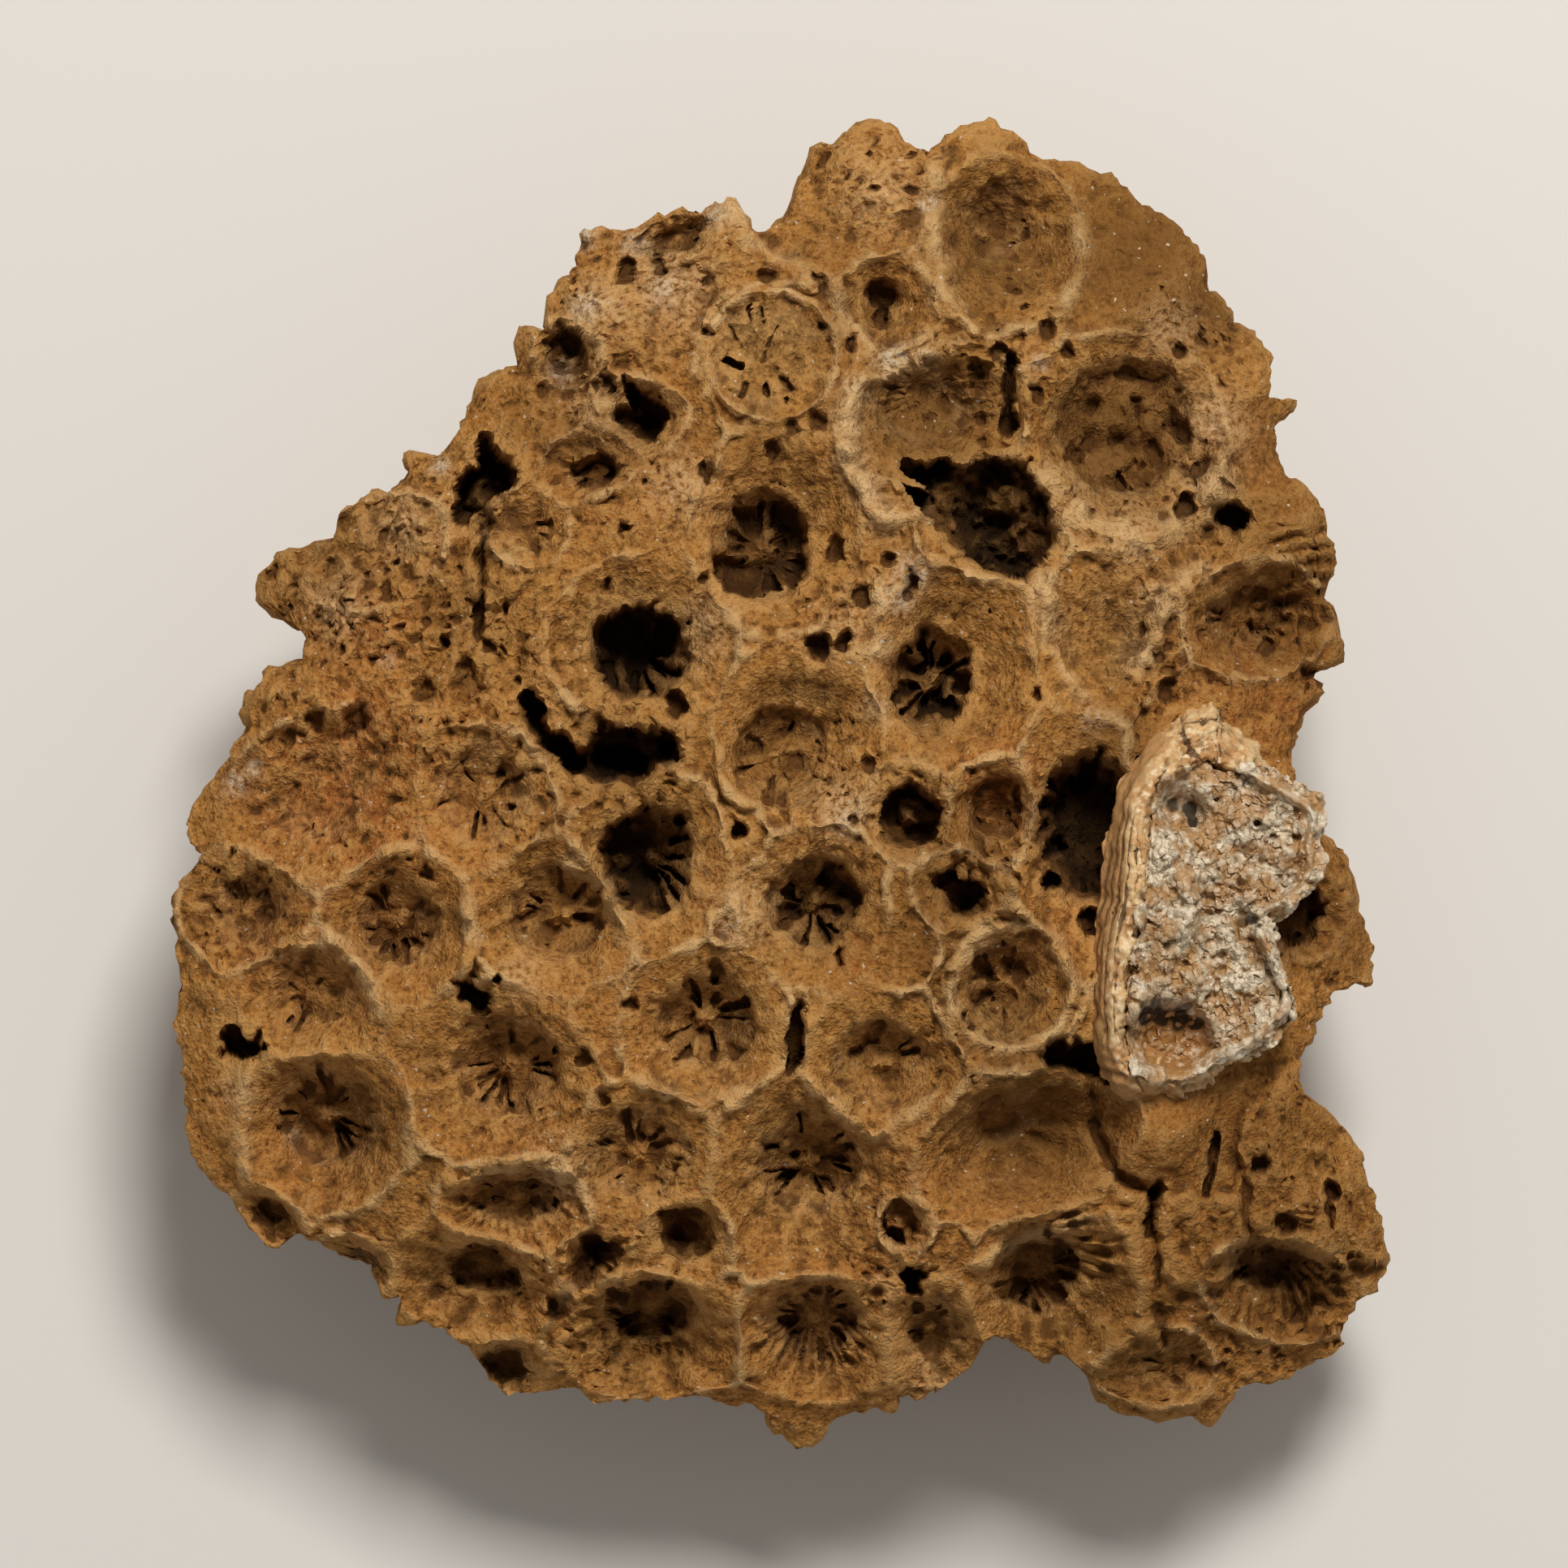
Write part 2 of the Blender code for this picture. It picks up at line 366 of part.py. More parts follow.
def crust_points(sphere):
    """The crystal crust: its underside follows the horn coral's face, and its top is lumpy."""
    angle, out, down = spread_over_stone(sphere, CRUST_SHARES)
    edge = edge_radius(CRUST_EDGE, CRUST_MIDDLE, angle)
    x = CRUST_MIDDLE[0] + edge * out * np.cos(angle)
    y = CRUST_MIDDLE[1] + edge * out * np.sin(angle)
    thickness = CRUST_THICKNESS * (0.45 + 0.55 * (1 - out**6))
    for lump_x, lump_y, radius, rise in CRUST_LUMPS:
        thickness += rise * np.clip(1 - np.hypot(x - lump_x, y - lump_y) / radius, 0, 1)
    return np.stack([x, y, horn_face(x, y) + SEAT_GAP + 0.25 + thickness * (1 - down)], axis=1)


def stone_material(name, colour, roughness):
    """A dull mineral finish."""
    material = bpy.data.materials.new(name)
    material.use_nodes = True
    shader = material.node_tree.nodes["Principled BSDF"]
    shader.inputs["Base Color"].default_value = (*colour, 1.0)
    shader.inputs["Roughness"].default_value = roughness
    shader.inputs["Metallic"].default_value = 0.0
    return material


def add_stone(name, place_points, subdivisions, faces, material):
    """Shapes a fine sphere into the stone, then keeps only the faces that the shape needs."""
    mesh = bpy.data.meshes.new(name)
    shape = bmesh.new()
    bmesh.ops.create_icosphere(shape, subdivisions=subdivisions, radius=1.0)
    sphere = np.array([vertex.co for vertex in shape.verts])
    sphere /= np.linalg.norm(sphere, axis=1, keepdims=True)
    for vertex, point in zip(shape.verts, place_points(sphere) * METRES_PER_MM):
        vertex.co = point
    fine_faces = len(shape.faces)
    shape.to_mesh(mesh)
    shape.free()
    mesh.materials.append(material)
    stone = bpy.data.objects.new(name, mesh)
    bpy.context.scene.collection.objects.link(stone)
    thin = stone.modifiers.new("fewer faces", "DECIMATE")
    thin.ratio = faces / fine_faces
    thin.use_collapse_triangulate = True
    return stone


def apply_modifiers(stone):
    """Makes the object's modified shape its own."""
    graph = bpy.context.evaluated_depsgraph_get()
    shaped = bpy.data.meshes.new_from_object(stone.evaluated_get(graph))
    stone.modifiers.clear()
    stone.data = shaped


def saw_flat(stone):
    """Cuts the stone off flat at the base, and closes the cut with one face."""
    shape = bmesh.new()
    shape.from_mesh(stone.data)
    everything = shape.verts[:] + shape.edges[:] + shape.faces[:]
    cut = bmesh.ops.bisect_plane(
        shape, geom=everything, plane_co=(0, 0, 0), plane_no=(0, 0, -1), clear_outer=True, dist=1e-7
    )
    edges = [part for part in cut["geom_cut"] if isinstance(part, bmesh.types.BMEdge)]
    bmesh.ops.contextual_create(shape, geom=edges)
    bmesh.ops.recalc_face_normals(shape, faces=shape.faces[:])
    shape.to_mesh(stone.data)
    shape.free()


def seat_in(stone, lodged):
    """Hollows the stone out for a piece that is lodged in it, with a little clearance all round."""
    cutter = bpy.data.objects.new("seat_cutter", lodged.data.copy())
    bpy.context.scene.collection.objects.link(cutter)
    cutter.hide_render = True
    cutter.display_type = "WIRE"
    normals = [vertex.normal.copy() for vertex in cutter.data.vertices]
    for vertex, normal in zip(cutter.data.vertices, normals):
        vertex.co += normal * SEAT_GAP * METRES_PER_MM
    seat = stone.modifiers.new("seat", "BOOLEAN")
    seat.operation = "DIFFERENCE"
    seat.object = cutter
    return cutter


def centre_over_origin(stones):
    """Moves all the stones together so that their outer box stands centred over the origin."""
    corners = np.array([vertex.co for stone in stones for vertex in stone.data.vertices])
    middle = (corners.min(axis=0) + corners.max(axis=0)) / 2
    for stone in stones:
        for vertex in stone.data.vertices:
            vertex.co.x -= middle[0]
            vertex.co.y -= middle[1]


def smooth_shading(stone):
    stone.data.shade_smooth()
    stone.data.set_sharp_from_angle(angle=np.radians(50))


def main():
    for obj in list(bpy.data.objects):
        bpy.data.objects.remove(obj)
    ochre = stone_material("coral_limestone", (0.36, 0.21, 0.10), 0.92)
    cream = stone_material("horn_coral_calcite", (0.60, 0.46, 0.28), 0.75)
    white = stone_material("calcite_crystals", (0.62, 0.54, 0.45), 0.45)

    colony = add_stone("coral_colony", colony_points, 7, COLONY_FACES, ochre)
    horn = add_stone("horn_coral", horn_points, 6, HORN_FACES, cream)
    crust = add_stone("calcite_crust", crust_points, 6, CRUST_FACES, white)
    for stone in (colony, horn, crust):
        apply_modifiers(stone)
    saw_flat(colony)
    seat_in(colony, horn)
    apply_modifiers(colony)
    centre_over_origin([colony, horn, crust])
    for stone in (colony, horn, crust):
        smooth_shading(stone)


main()
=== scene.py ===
"""The looks of a fossil colonial rugose coral that lies on its sawn base.

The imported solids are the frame: a colony of corallites, a broken horn coral lodged in its crown, and the
calcite crust in the horn coral's broken face. Shapes are worked out in millimetres and made in metres.
"""

import itertools
from collections import namedtuple

import bpy
import numpy as np
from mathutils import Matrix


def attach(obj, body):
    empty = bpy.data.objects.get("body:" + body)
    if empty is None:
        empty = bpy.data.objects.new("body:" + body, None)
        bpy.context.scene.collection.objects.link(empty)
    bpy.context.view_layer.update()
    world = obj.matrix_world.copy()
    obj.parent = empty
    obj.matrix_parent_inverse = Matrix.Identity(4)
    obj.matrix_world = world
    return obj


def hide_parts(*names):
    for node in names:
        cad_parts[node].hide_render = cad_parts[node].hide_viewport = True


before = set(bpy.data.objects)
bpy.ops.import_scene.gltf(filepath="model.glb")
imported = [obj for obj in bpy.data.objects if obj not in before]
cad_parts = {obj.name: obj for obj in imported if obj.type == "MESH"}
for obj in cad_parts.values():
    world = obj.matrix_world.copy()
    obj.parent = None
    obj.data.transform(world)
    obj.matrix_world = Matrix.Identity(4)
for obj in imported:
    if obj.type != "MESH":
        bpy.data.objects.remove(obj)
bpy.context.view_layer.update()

METRES_PER_MM = 0.001

# The view, the light and the floor
# The stone lies with its calices up, so it is looked at from straight above through a long lens, on a
# plain pale table, under a soft window-like lamp from the far side and a weak even fill.
PICTURE_SPAN = 0.138
RIM_LEVEL = 0.034
CAMERA_HEIGHT = 1.20
SENSOR_WIDTH = 36.0
NEAREST_SEEN = 0.01
LAMP_PLACE = (0.13, 0.49, 0.87)
LAMP_SIZE = 0.26
LAMP_POWER = 9.1
LAMP_COLOUR = (1.0, 0.96, 0.90)
FILL_COLOUR = (1.0, 0.95, 0.88)
FILL_STRENGTH = 0.29
FLOOR_SIZE = 3.0
FLOOR_COLOUR = (0.70, 0.69, 0.67)
FLOOR_ROUGHNESS = 0.9

bpy.ops.object.select_all(action="DESELECT")
bpy.ops.object.camera_add(location=(0, 0, CAMERA_HEIGHT), rotation=(0, 0, 0))
camera = bpy.context.object
camera.data.sensor_width = SENSOR_WIDTH
camera.data.lens = SENSOR_WIDTH * (CAMERA_HEIGHT - RIM_LEVEL) / PICTURE_SPAN
camera.data.clip_start = NEAREST_SEEN
bpy.context.scene.camera = camera

bpy.ops.object.light_add(type="AREA", location=LAMP_PLACE)
lamp = bpy.context.object
lamp.data.size = LAMP_SIZE
lamp.data.energy = LAMP_POWER
lamp.data.color = LAMP_COLOUR
lamp.rotation_euler = lamp.location.to_track_quat("Z", "Y").to_euler()

bpy.context.scene.view_settings.view_transform = "Standard"
world = bpy.data.worlds.new("soft_fill")
bpy.context.scene.world = world
world.use_nodes = True
fill = world.node_tree.nodes["Background"].inputs
fill["Color"].default_value = (*FILL_COLOUR, 1)
fill["Strength"].default_value = FILL_STRENGTH

bpy.ops.object.select_all(action="DESELECT")
bpy.ops.mesh.primitive_plane_add(size=FLOOR_SIZE, location=(0, 0, 0))
floor = bpy.context.object
floor.name = "table_top"
pale = bpy.data.materials.new("pale_table")
pale.use_nodes = True
table = pale.node_tree.nodes["Principled BSDF"].inputs
table["Base Color"].default_value = (*FLOOR_COLOUR, 1)
table["Roughness"].default_value = FLOOR_ROUGHNESS
floor.data.materials.append(pale)

# The coral colony
# One lump of corallites grown wall to wall, now ochre-brown limestone. Each corallite ends in a calice: a
# bowl with radial septa in its floor and a thin raised wall round it. The colony is sawn off at its base.
CROWN_HEIGHT = 46.0
CROWN_CURVE = 2.6
MEAN_RIM_DROP = 13.5
RIM_DROP_TO_RIGHT = 1.5
RIM_DROP_TO_NEAR = 5.0
RIM_ROUNDING = 1.6
FOOT_SHARE = 0.78
ROUND_ROW = 0.92
SAW_ALLOWANCE = 2.0
FLANK_TUBES = 27
TUBE_BULGE = 2.2
GROWTH_RING_PITCH = 6.5
GROWTH_RING_DEPTH = 0.35
WRINKLE_PITCH = 1.9
WRINKLE_DEPTH = 0.12
FLANK_SEED = 7
FLANK_FURROWS = 9
FURROW_DEPTH = 0.07
CRUMBLED_DEPTH = 0.8
COLONY_SHARES = (0.74, 0.21)
COLONY_TRIANGLES = 188000
COLONY_SHARP_ANGLE = 65
SHIFT_TO_FRAME = (-0.03, -0.20)

WALL_RISE = 1.05
WALL_HALF_WIDTH = 0.40
SEPTUM_SPACING = 1.7
SEPTA_SEED = 100
SEPTA_IN_A_CUP = (9, 20)
GAP_HALF_WIDTHS = (0.12, 0.62)
CLEAN_FILL = 0.12
DEEP_PIT = 5
FLUTES_IN_A_CUP = (12, 26)
STRIATION_HEIGHT = 0.20
BOWL_STEEPNESS = 1.25

# The edge of the crown, anticlockwise from the right, as x and y
CROWN_EDGE = [
    (44.4, 1.1), (44.6, 3.6), (45.3, 6.9), (47.9, 8.4), (46.4, 9.7), (49.4, 11.3), (49.2, 14), (47.9, 17.6),
    (49, 19.6), (48.1, 21.9), (47.3, 24.6), (46.1, 26.9), (44.4, 27.1), (43.3, 30.1), (43, 32.2),
    (45.2, 33.2), (45.1, 34.1), (42.9, 34.3), (42.6, 38.1), (41.4, 39.7), (39, 40.6), (38.7, 42.4),
    (37.2, 44.6), (37.6, 46.7), (36.4, 48.1), (33.9, 49.9), (31, 51.9), (28.9, 53.6), (26.7, 54.5),
    (22.8, 55.4), (19.7, 57.4), (18, 59), (14.4, 57.4), (12.9, 55.4), (11.6, 55.6), (9.9, 57.9), (8.1, 59),
    (5.6, 57.9), (4.2, 56.2), (2.6, 56.6), (2.1, 54.2), (1, 51.5), (0.3, 49.7), (-1.5, 48.1), (-3.1, 49.2),
    (-4.4, 51.5), (-6.1, 51.6), (-7.4, 50.2), (-8.9, 51.1), (-14.7, 49), (-17.7, 49.1), (-18.3, 45.4),
    (-20.4, 43.3), (-21, 40.1), (-23.2, 40.1), (-23.2, 36.9), (-26.1, 35.4), (-27.4, 33), (-28.3, 31.1),
    (-30.1, 29), (-33.4, 29.3), (-32.9, 27.6), (-34.3, 25.7), (-36.1, 26.1), (-39, 24), (-39.7, 21.7),
    (-44.6, 20.4), (-46.4, 18.7), (-46.6, 16.7), (-45.4, 15.4), (-42.4, 14), (-41.4, 12.2), (-41.7, 10.8),
    (-45.4, 10.1), (-47.2, 8.3), (-46.9, 5.1), (-49, 2.6), (-51.1, -0.3), (-52.4, -3.1), (-52.3, -4.9),
    (-51, -6), (-53.3, -8.5), (-54, -10.3), (-53.1, -16.7), (-53.8, -21), (-53.1, -26), (-52.9, -31),
    (-51.9, -33.9), (-48.3, -37.4), (-47, -39.4), (-45.1, -41.1), (-43.1, -39.3), (-40.4, -41.1),
    (-36.5, -42.4), (-35.6, -45.3), (-34, -45.3), (-34.4, -48.1), (-31.9, -47.1), (-27.6, -49.9),
    (-26.3, -52.4), (-24.7, -54), (-19, -53.4), (-16.1, -54.6), (-10.4, -53.9), (-7, -54.1), (-4.7, -55),
    (-1.6, -55.1), (-1.1, -56.6), (0.6, -58.6), (2.6, -58.6), (4.7, -56), (8.1, -55.1), (9.6, -55.7),
    (10.1, -53.9), (13.1, -53.6), (15.4, -52.4), (17.6, -49.2), (18.6, -46.9), (20.4, -49.6), (23.1, -50.5),
    (25.1, -49.7), (27, -51.7), (27.6, -54), (30.3, -56), (33.1, -56.5), (36.7, -56), (38.1, -57.6),
    (39.6, -55.1), (40.3, -53.4), (43.1, -53.1), (46.7, -51.7), (49.6, -50.3), (49.9, -48.1), (51.7, -45.4),
    (53.6, -43.9), (53.9, -42.1), (52.6, -38.1), (51.4, -34.7), (51.1, -32.4), (48.9, -29.9), (45.3, -27.1),
    (44.7, -24.6), (46.4, -22.8), (47.6, -20.3), (48.1, -18), (49.9, -17.9), (52.1, -17.4), (51.7, -15.4),
    (52.4, -13.9), (51, -10.3), (49.7, -6.1), (47.4, -4.6), (45.3, -1.7),
]

# The calices. A cup is a bowl of some radius and depth, with a steeper pit in its floor, whose middle is
# given from the bowl's. Squash is the width across over along, and turn is in degrees. Inner is the share
# of the pit that the septa's gaps leave free, fill is how full of sediment the gaps are, and knob is the
# height of the pillar in the middle as a share of the pit's depth.
Cup = namedtuple(
    "Cup", "x y radius depth floor_x floor_y floor_radius floor_depth squash turn inner fill knob"
)
CUPS = [
    # The far edge and the far right
    Cup(19.2, 47.9, 7, 4.2, -0.6, 1.8, 3.4, 2.2, 1.08, 0, 0.2, 0.9, 0),
    Cup(-1.1, 37.6, 6.5, 0.4, 0, 0, 4.9, 0.3, 1, 0, 0.5, 1, 0),
    Cup(8.9, 42.2, 4.4, 2.2, 0, 0.2, 2.4, 0.8, 0.9, 20, 0.9, 0.9, 0),
    Cup(13.3, 32.4, 8.2, 3.4, -1.5, 0.5, 4.4, 0.8, 0.74, 0, 0.5, 0.6, 0),
    Cup(29.9, 30.8, 9, 3.2, -0.2, 0.6, 6.4, 3.8, 1.02, 0, 0.75, 1, 0),
    Cup(18.1, 23.4, 6.6, 1.4, 0.6, -0.2, 5.2, 0.6, 0.9, -30, 0.5, 0.3, 0),
    Cup(41.7, 14.7, 6.4, 4.5, -1, 0.6, 3.4, 1.5, 0.85, 0, 0.4, 0.4, 0),
    Cup(27.8, 12.9, 6.8, 2.2, 0, 0, 4, 0.8, 1, 0, 0.4, 0.6, 0),
    # The far left
    Cup(-12.4, 32.6, 3.8, 1, 0.3, 0.2, 2.8, 1, 0.85, -30, 0.8, 0, 0),
    Cup(-17.2, 28.2, 4.4, 1.6, 0.6, -0.8, 2.2, 3.2, 0.7, 25, 0.6, 0, 0),
    Cup(-22.6, 22.6, 3.4, 0.9, 0, 0, 2.4, 1, 1, 0, 0.3, 0.2, 0),
    Cup(-19, 37.9, 3, 1, 0, 0, 2, 2.6, 1, 0, 0.7, 0, 0),
    Cup(-9.7, 47.9, 4.4, 1.4, 0.2, 0, 2.6, 2.2, 0.5, 20, 0.5, 0.2, 0),
    Cup(-35.5, 20.5, 6.5, 1, 0, 0, 3, 0.6, 0.7, 30, 0.5, 0.5, 0),
    # The middle
    Cup(-0.7, 22.3, 7.4, 3.8, -1.3, -1.4, 4.3, 5.7, 1.12, 0, 0.16, 0.1, 0.3),
    Cup(-12.9, 12.4, 7.8, 2.8, 0.1, -0.7, 4.2, 8.5, 1, 0, 0.3, 0, 0),
    Cup(14.9, 10.4, 7.2, 4.2, -2.2, -1.2, 3.9, 6.5, 1.24, -4, 0.2, 0.1, 0.4),
    Cup(1.4, 4.6, 6.9, 3.6, -1.7, -1.9, 4.2, 4.2, 1.08, 0, 0.35, 0.35, 0.6),
    Cup(-11.9, -6.2, 6.6, 2.2, 0, -0.3, 4.2, 7.5, 1.2, 0, 0.25, 0.05, 0.2),
    Cup(2.9, -10.6, 6.4, 2.6, -0.3, 0.4, 4.1, 6, 1.05, 0, 0.22, 0.15, 0.35),
    Cup(11, -2.4, 3.9, 1.2, 0, -0.2, 2.6, 5.5, 1.05, 0, 0.75, 0, 0.6),
    Cup(18.3, -2.4, 4.4, 2.2, 0, 0.3, 2.8, 3.4, 1.1, 0, 0.5, 0.2, 0.2),
    Cup(15.6, -8.9, 4, 1, 0.3, 0, 2.7, 0.8, 0.95, -15, 0.9, 0, 0),
    Cup(25.6, -4.6, 5.6, 2, 1.2, 0.8, 4.8, 9.5, 2.1, 0, 0.6, 0, 0),
    # The left
    Cup(-26.3, -0.6, 5.9, 1.2, 0.2, 0.1, 4.5, 2.2, 1, 0, 0.35, 0.35, 0.7),
    Cup(-40.4, -0.6, 9.2, 2.6, 0, 0, 5, 0.6, 0.78, 20, 0.3, 0.5, 0),
    Cup(-33.9, -12.3, 6.4, 2.8, 0, 0, 3.8, 3.4, 1, 0, 0.3, 0.35, 0.6),
    Cup(-19.8, -11.3, 6.8, 2.6, 0, 0.1, 4.3, 3.6, 0.94, 0, 0.25, 0.3, 0.8),
    Cup(-47.7, -11, 5.8, 2, 0.9, 0.3, 3.2, 2.4, 0.9, 0, 0.35, 0.35, 0.5),
    Cup(-41.5, -18.6, 6.7, 2.6, 0, 0.2, 3.8, 1.6, 0.9, 0, 0.3, 0.4, 0.5),
    Cup(-24.9, -25.4, 8, 3.2, 0.6, 0.8, 4.9, 4.4, 0.95, 0, 0.25, 0.3, 0.6),
    Cup(-7, -21, 7, 2.8, 0.2, 0.6, 4.5, 4, 0.95, 0, 0.2, 0.25, 0.7),
    Cup(-40.6, -30.4, 8.1, 4.8, 0.4, 1.4, 5, 3.2, 0.92, 0, 0.15, 0.25, 0.9),
    # The near edge
    Cup(8.6, -24.8, 6.7, 2.3, 0, 0.4, 4.2, 3, 1, 0, 0.3, 0.35, 0.5),
    Cup(19.4, -17.6, 5.9, 2.6, 0, 0.3, 3.4, 3.2, 1.2, 15, 0.3, 0.3, 0.4),
    Cup(1, -21.8, 3.9, 0.2, 0, 0, 3.3, 4.5, 0.2, 84, 0.9, 0, 0),
    Cup(-12.7, -32.4, 6.2, 1.6, 0, 0.2, 4.5, 2.2, 1, 0, 0.3, 0.25, 0.7),
    Cup(2.5, -34.8, 8.8, 3.5, -0.2, 1.9, 4.5, 4, 1.05, 0, 0.2, 0.2, 0.6),
    Cup(-23.7, -36.6, 6.5, 2.6, 0.1, 0.8, 4.3, 2.8, 0.64, 0, 0.3, 0.2, 0.3),
    Cup(-8.6, -39.7, 4.2, 1.6, 0, 0.5, 2.7, 6.8, 1, 0, 0.3, 0.9, 0),
    Cup(21.6, -31.4, 10.2, 5.8, -3.4, 2.2, 4.2, 2, 0.62, 20, 0.2, 0.9, 0),
    Cup(10.3, -38.1, 2.5, 0.8, 0, 0, 1.6, 1.8, 1.2, 0, 0.9, 0, 0.5),
    Cup(-27.7, -43.9, 7.6, 3.6, 1, 1.6, 3.6, 3.4, 0.68, -12, 0.5, 0.1, 0.2),
    Cup(-11.9, -48.8, 8.2, 5, 0.2, 2.6, 4.4, 4.5, 0.72, 0, 0.5, 0.1, 0.2),
    Cup(2.8, -48.6, 7.2, 3.6, 0, 1.6, 4.4, 2.8, 0.84, 0, 0.3, 0.2, 0.4),
    Cup(13, -48.4, 4.6, 2.4, 0, 0.8, 2.8, 2.2, 1.05, 0, 0.3, 0.2, 0.4),
    Cup(23.9, -44.4, 7.8, 4.4, -1.6, 1.8, 4.4, 4, 0.92, 25, 0.4, 0.1, 0),
    Cup(-24.6, -51.6, 3.6, 2, 0, 0.6, 2.2, 2, 0.85, 0, 0.5, 0.2, 0),
    Cup(-45.4, -38.1, 3.4, 2.4, 0.4, 0.6, 1.8, 1.4, 0.7, -30, 0.6, 0.2, 0),
    Cup(-37.6, -42.2, 3.6, 2.6, 0.4, 0.6, 1.8, 1.4, 0.65, -25, 0.6, 0.2, 0),
    # The near right
    Cup(44, -44.6, 7.6, 3.4, -1.4, 2.4, 4.2, 3.8, 0.62, -12, 0.4, 0.2, 0),
    Cup(46, -11.4, 4, 1.6, -1.2, 0.2, 3, 4.6, 1, 0, 0.8, 0, 0),
    Cup(33.2, -51.6, 5.2, 2.4, 1.4, 0.2, 3, 1.2, 0.7, 0, 0.5, 0.4, 0),
]

# Lines of points with a half width and a size. Ridges are walls that stand above the cups, by their size,
# or smooth grooves where it is negative. Cracks are as deep as their size; the last ones are the thin
# holes of the wheel-like calice at the far edge.
Line = namedtuple("Line", "points half_width size")
RIDGES = [
    Line([
        (13.9, 37.9), (10.4, 36.9), (6.7, 35.4), (5.3, 32.6), (5.6, 28.3), (7.1, 25.4), (8.9, 23.3),
    ], 1, 1.7),
    Line([(8.9, 23.3), (12.4, 24)], 0.7, 1.2),
    Line([(23.1, 26.9), (26.7, 22.6), (32.4, 21.5), (37.4, 25.1), (39.2, 29.7)], 1.4, 1.4),
    Line([(36.4, 19.7), (33.1, 16.1), (31, 9.7)], 0.9, 1.6),
    Line([(22.8, 17.6), (23.1, 12.6), (26, 8.3)], 0.8, 1.1),
    Line([(-27.8, -7.8), (-27.7, -16.4)], 0.5, 0.9),
    Line([(-19, -7), (-15.8, -8.9), (-13.6, -13.1)], 0.6, 0.9),
    Line([(-44, -14.2), (-38.6, -13.6), (-35.4, -19.9)], 0.6, 0.8),
    Line([(-47.6, -26), (-47.8, -34.6)], 0.6, 1),
    Line([(-32.9, -26.7), (-32.2, -32.4)], 0.7, 0.8),
    Line([(-29, -34.6), (-24.7, -33.4), (-19.4, -34.2)], 0.7, 1.6),
    Line([(-12.6, -25.3), (-7.6, -27.8), (-1.9, -26)], 0.6, 0.8),
    Line([(4.6, -28.1), (8.1, -30.6), (13.1, -27.4)], 0.6, 0.8),
    Line([(17.8, -13.1), (14.9, -16.7), (15.3, -21)], 0.7, 1),
    Line([(16.7, -42.1), (23.1, -39.4), (28.1, -38.1)], 0.7, 1.1),
    Line([(12.9, 54.7), (13.2, 47.6), (14.7, 42.2)], 0.9, 1.4),
    Line([(25.6, 49.6), (26, 46.3), (24.6, 42.4)], 0.6, 0.7),
    Line([(3.9, 44), (5.6, 41.1), (7.8, 38.6)], 0.6, 1.1),
    Line([(-4.4, 51.1), (-2.6, 47.6), (2.4, 44.4)], 0.9, 1.3),
    Line([(8.1, 17.6), (8.5, 11.9)], 0.7, 0.9),
    Line([
        (26.3, -24.4), (26.9, -27.4), (27.4, -30.4), (28.3, -33), (30.1, -34.9), (32.5, -35.8),
    ], 0.55, -2.3),
    Line([(32.9, -40), (33.1, -44.9), (33.7, -49.3)], 0.38, -1.1),
]
CRACKS = [
    Line([(-22.6, 7.7), (-20.9, 4.2), (-18.3, 2.4)], 1, 6),
    Line([(-18, 2.5), (-13.5, 1.9)], 1.3, 7),
    Line([(-15.4, 3.6), (-10.4, 3.2)], 1.9, 7),
    Line([(-25.9, 24), (-26.4, 19), (-26.7, 13.3)], 0.6, 2.8),
    Line([(32.5, -35.8), (32.1, -39.2)], 0.75, 3.6),
    Line([(38.1, -30.6), (37.1, -35.9)], 0.36, 2.6),
    Line([(47.9, -36.4), (48.1, -38.9)], 0.34, 2),
    Line([(19.9, 37.6), (19.6, 31.5)], 0.7, 4),
    Line([(23.9, -23.4), (28.2, -24.6)], 1.6, 6),
    Line([(-5.9, 42.1), (-4.7, 40.3), (-3.8, 38.5)], 0.18, 0.6),
    Line([(-5, 37.3), (-3.9, 36.7)], 0.52, 2.4),
    Line([(-2.8, 41.9), (-2.7, 40.7)], 0.26, 1),
    Line([(-1.6, 41.6), (-1.5, 40.6)], 0.2, 0.8),
    Line([(-0.4, 40.2), (-1.2, 38.6)], 0.18, 0.6),
    Line([(-0.1, 35.8), (0.8, 34.9)], 0.3, 1.4),
    Line([(-1.5, 34.9), (-1.4, 34.3)], 0.24, 1.1),
    Line([(-3.5, 35), (-3.7, 33.9)], 0.28, 1),
]

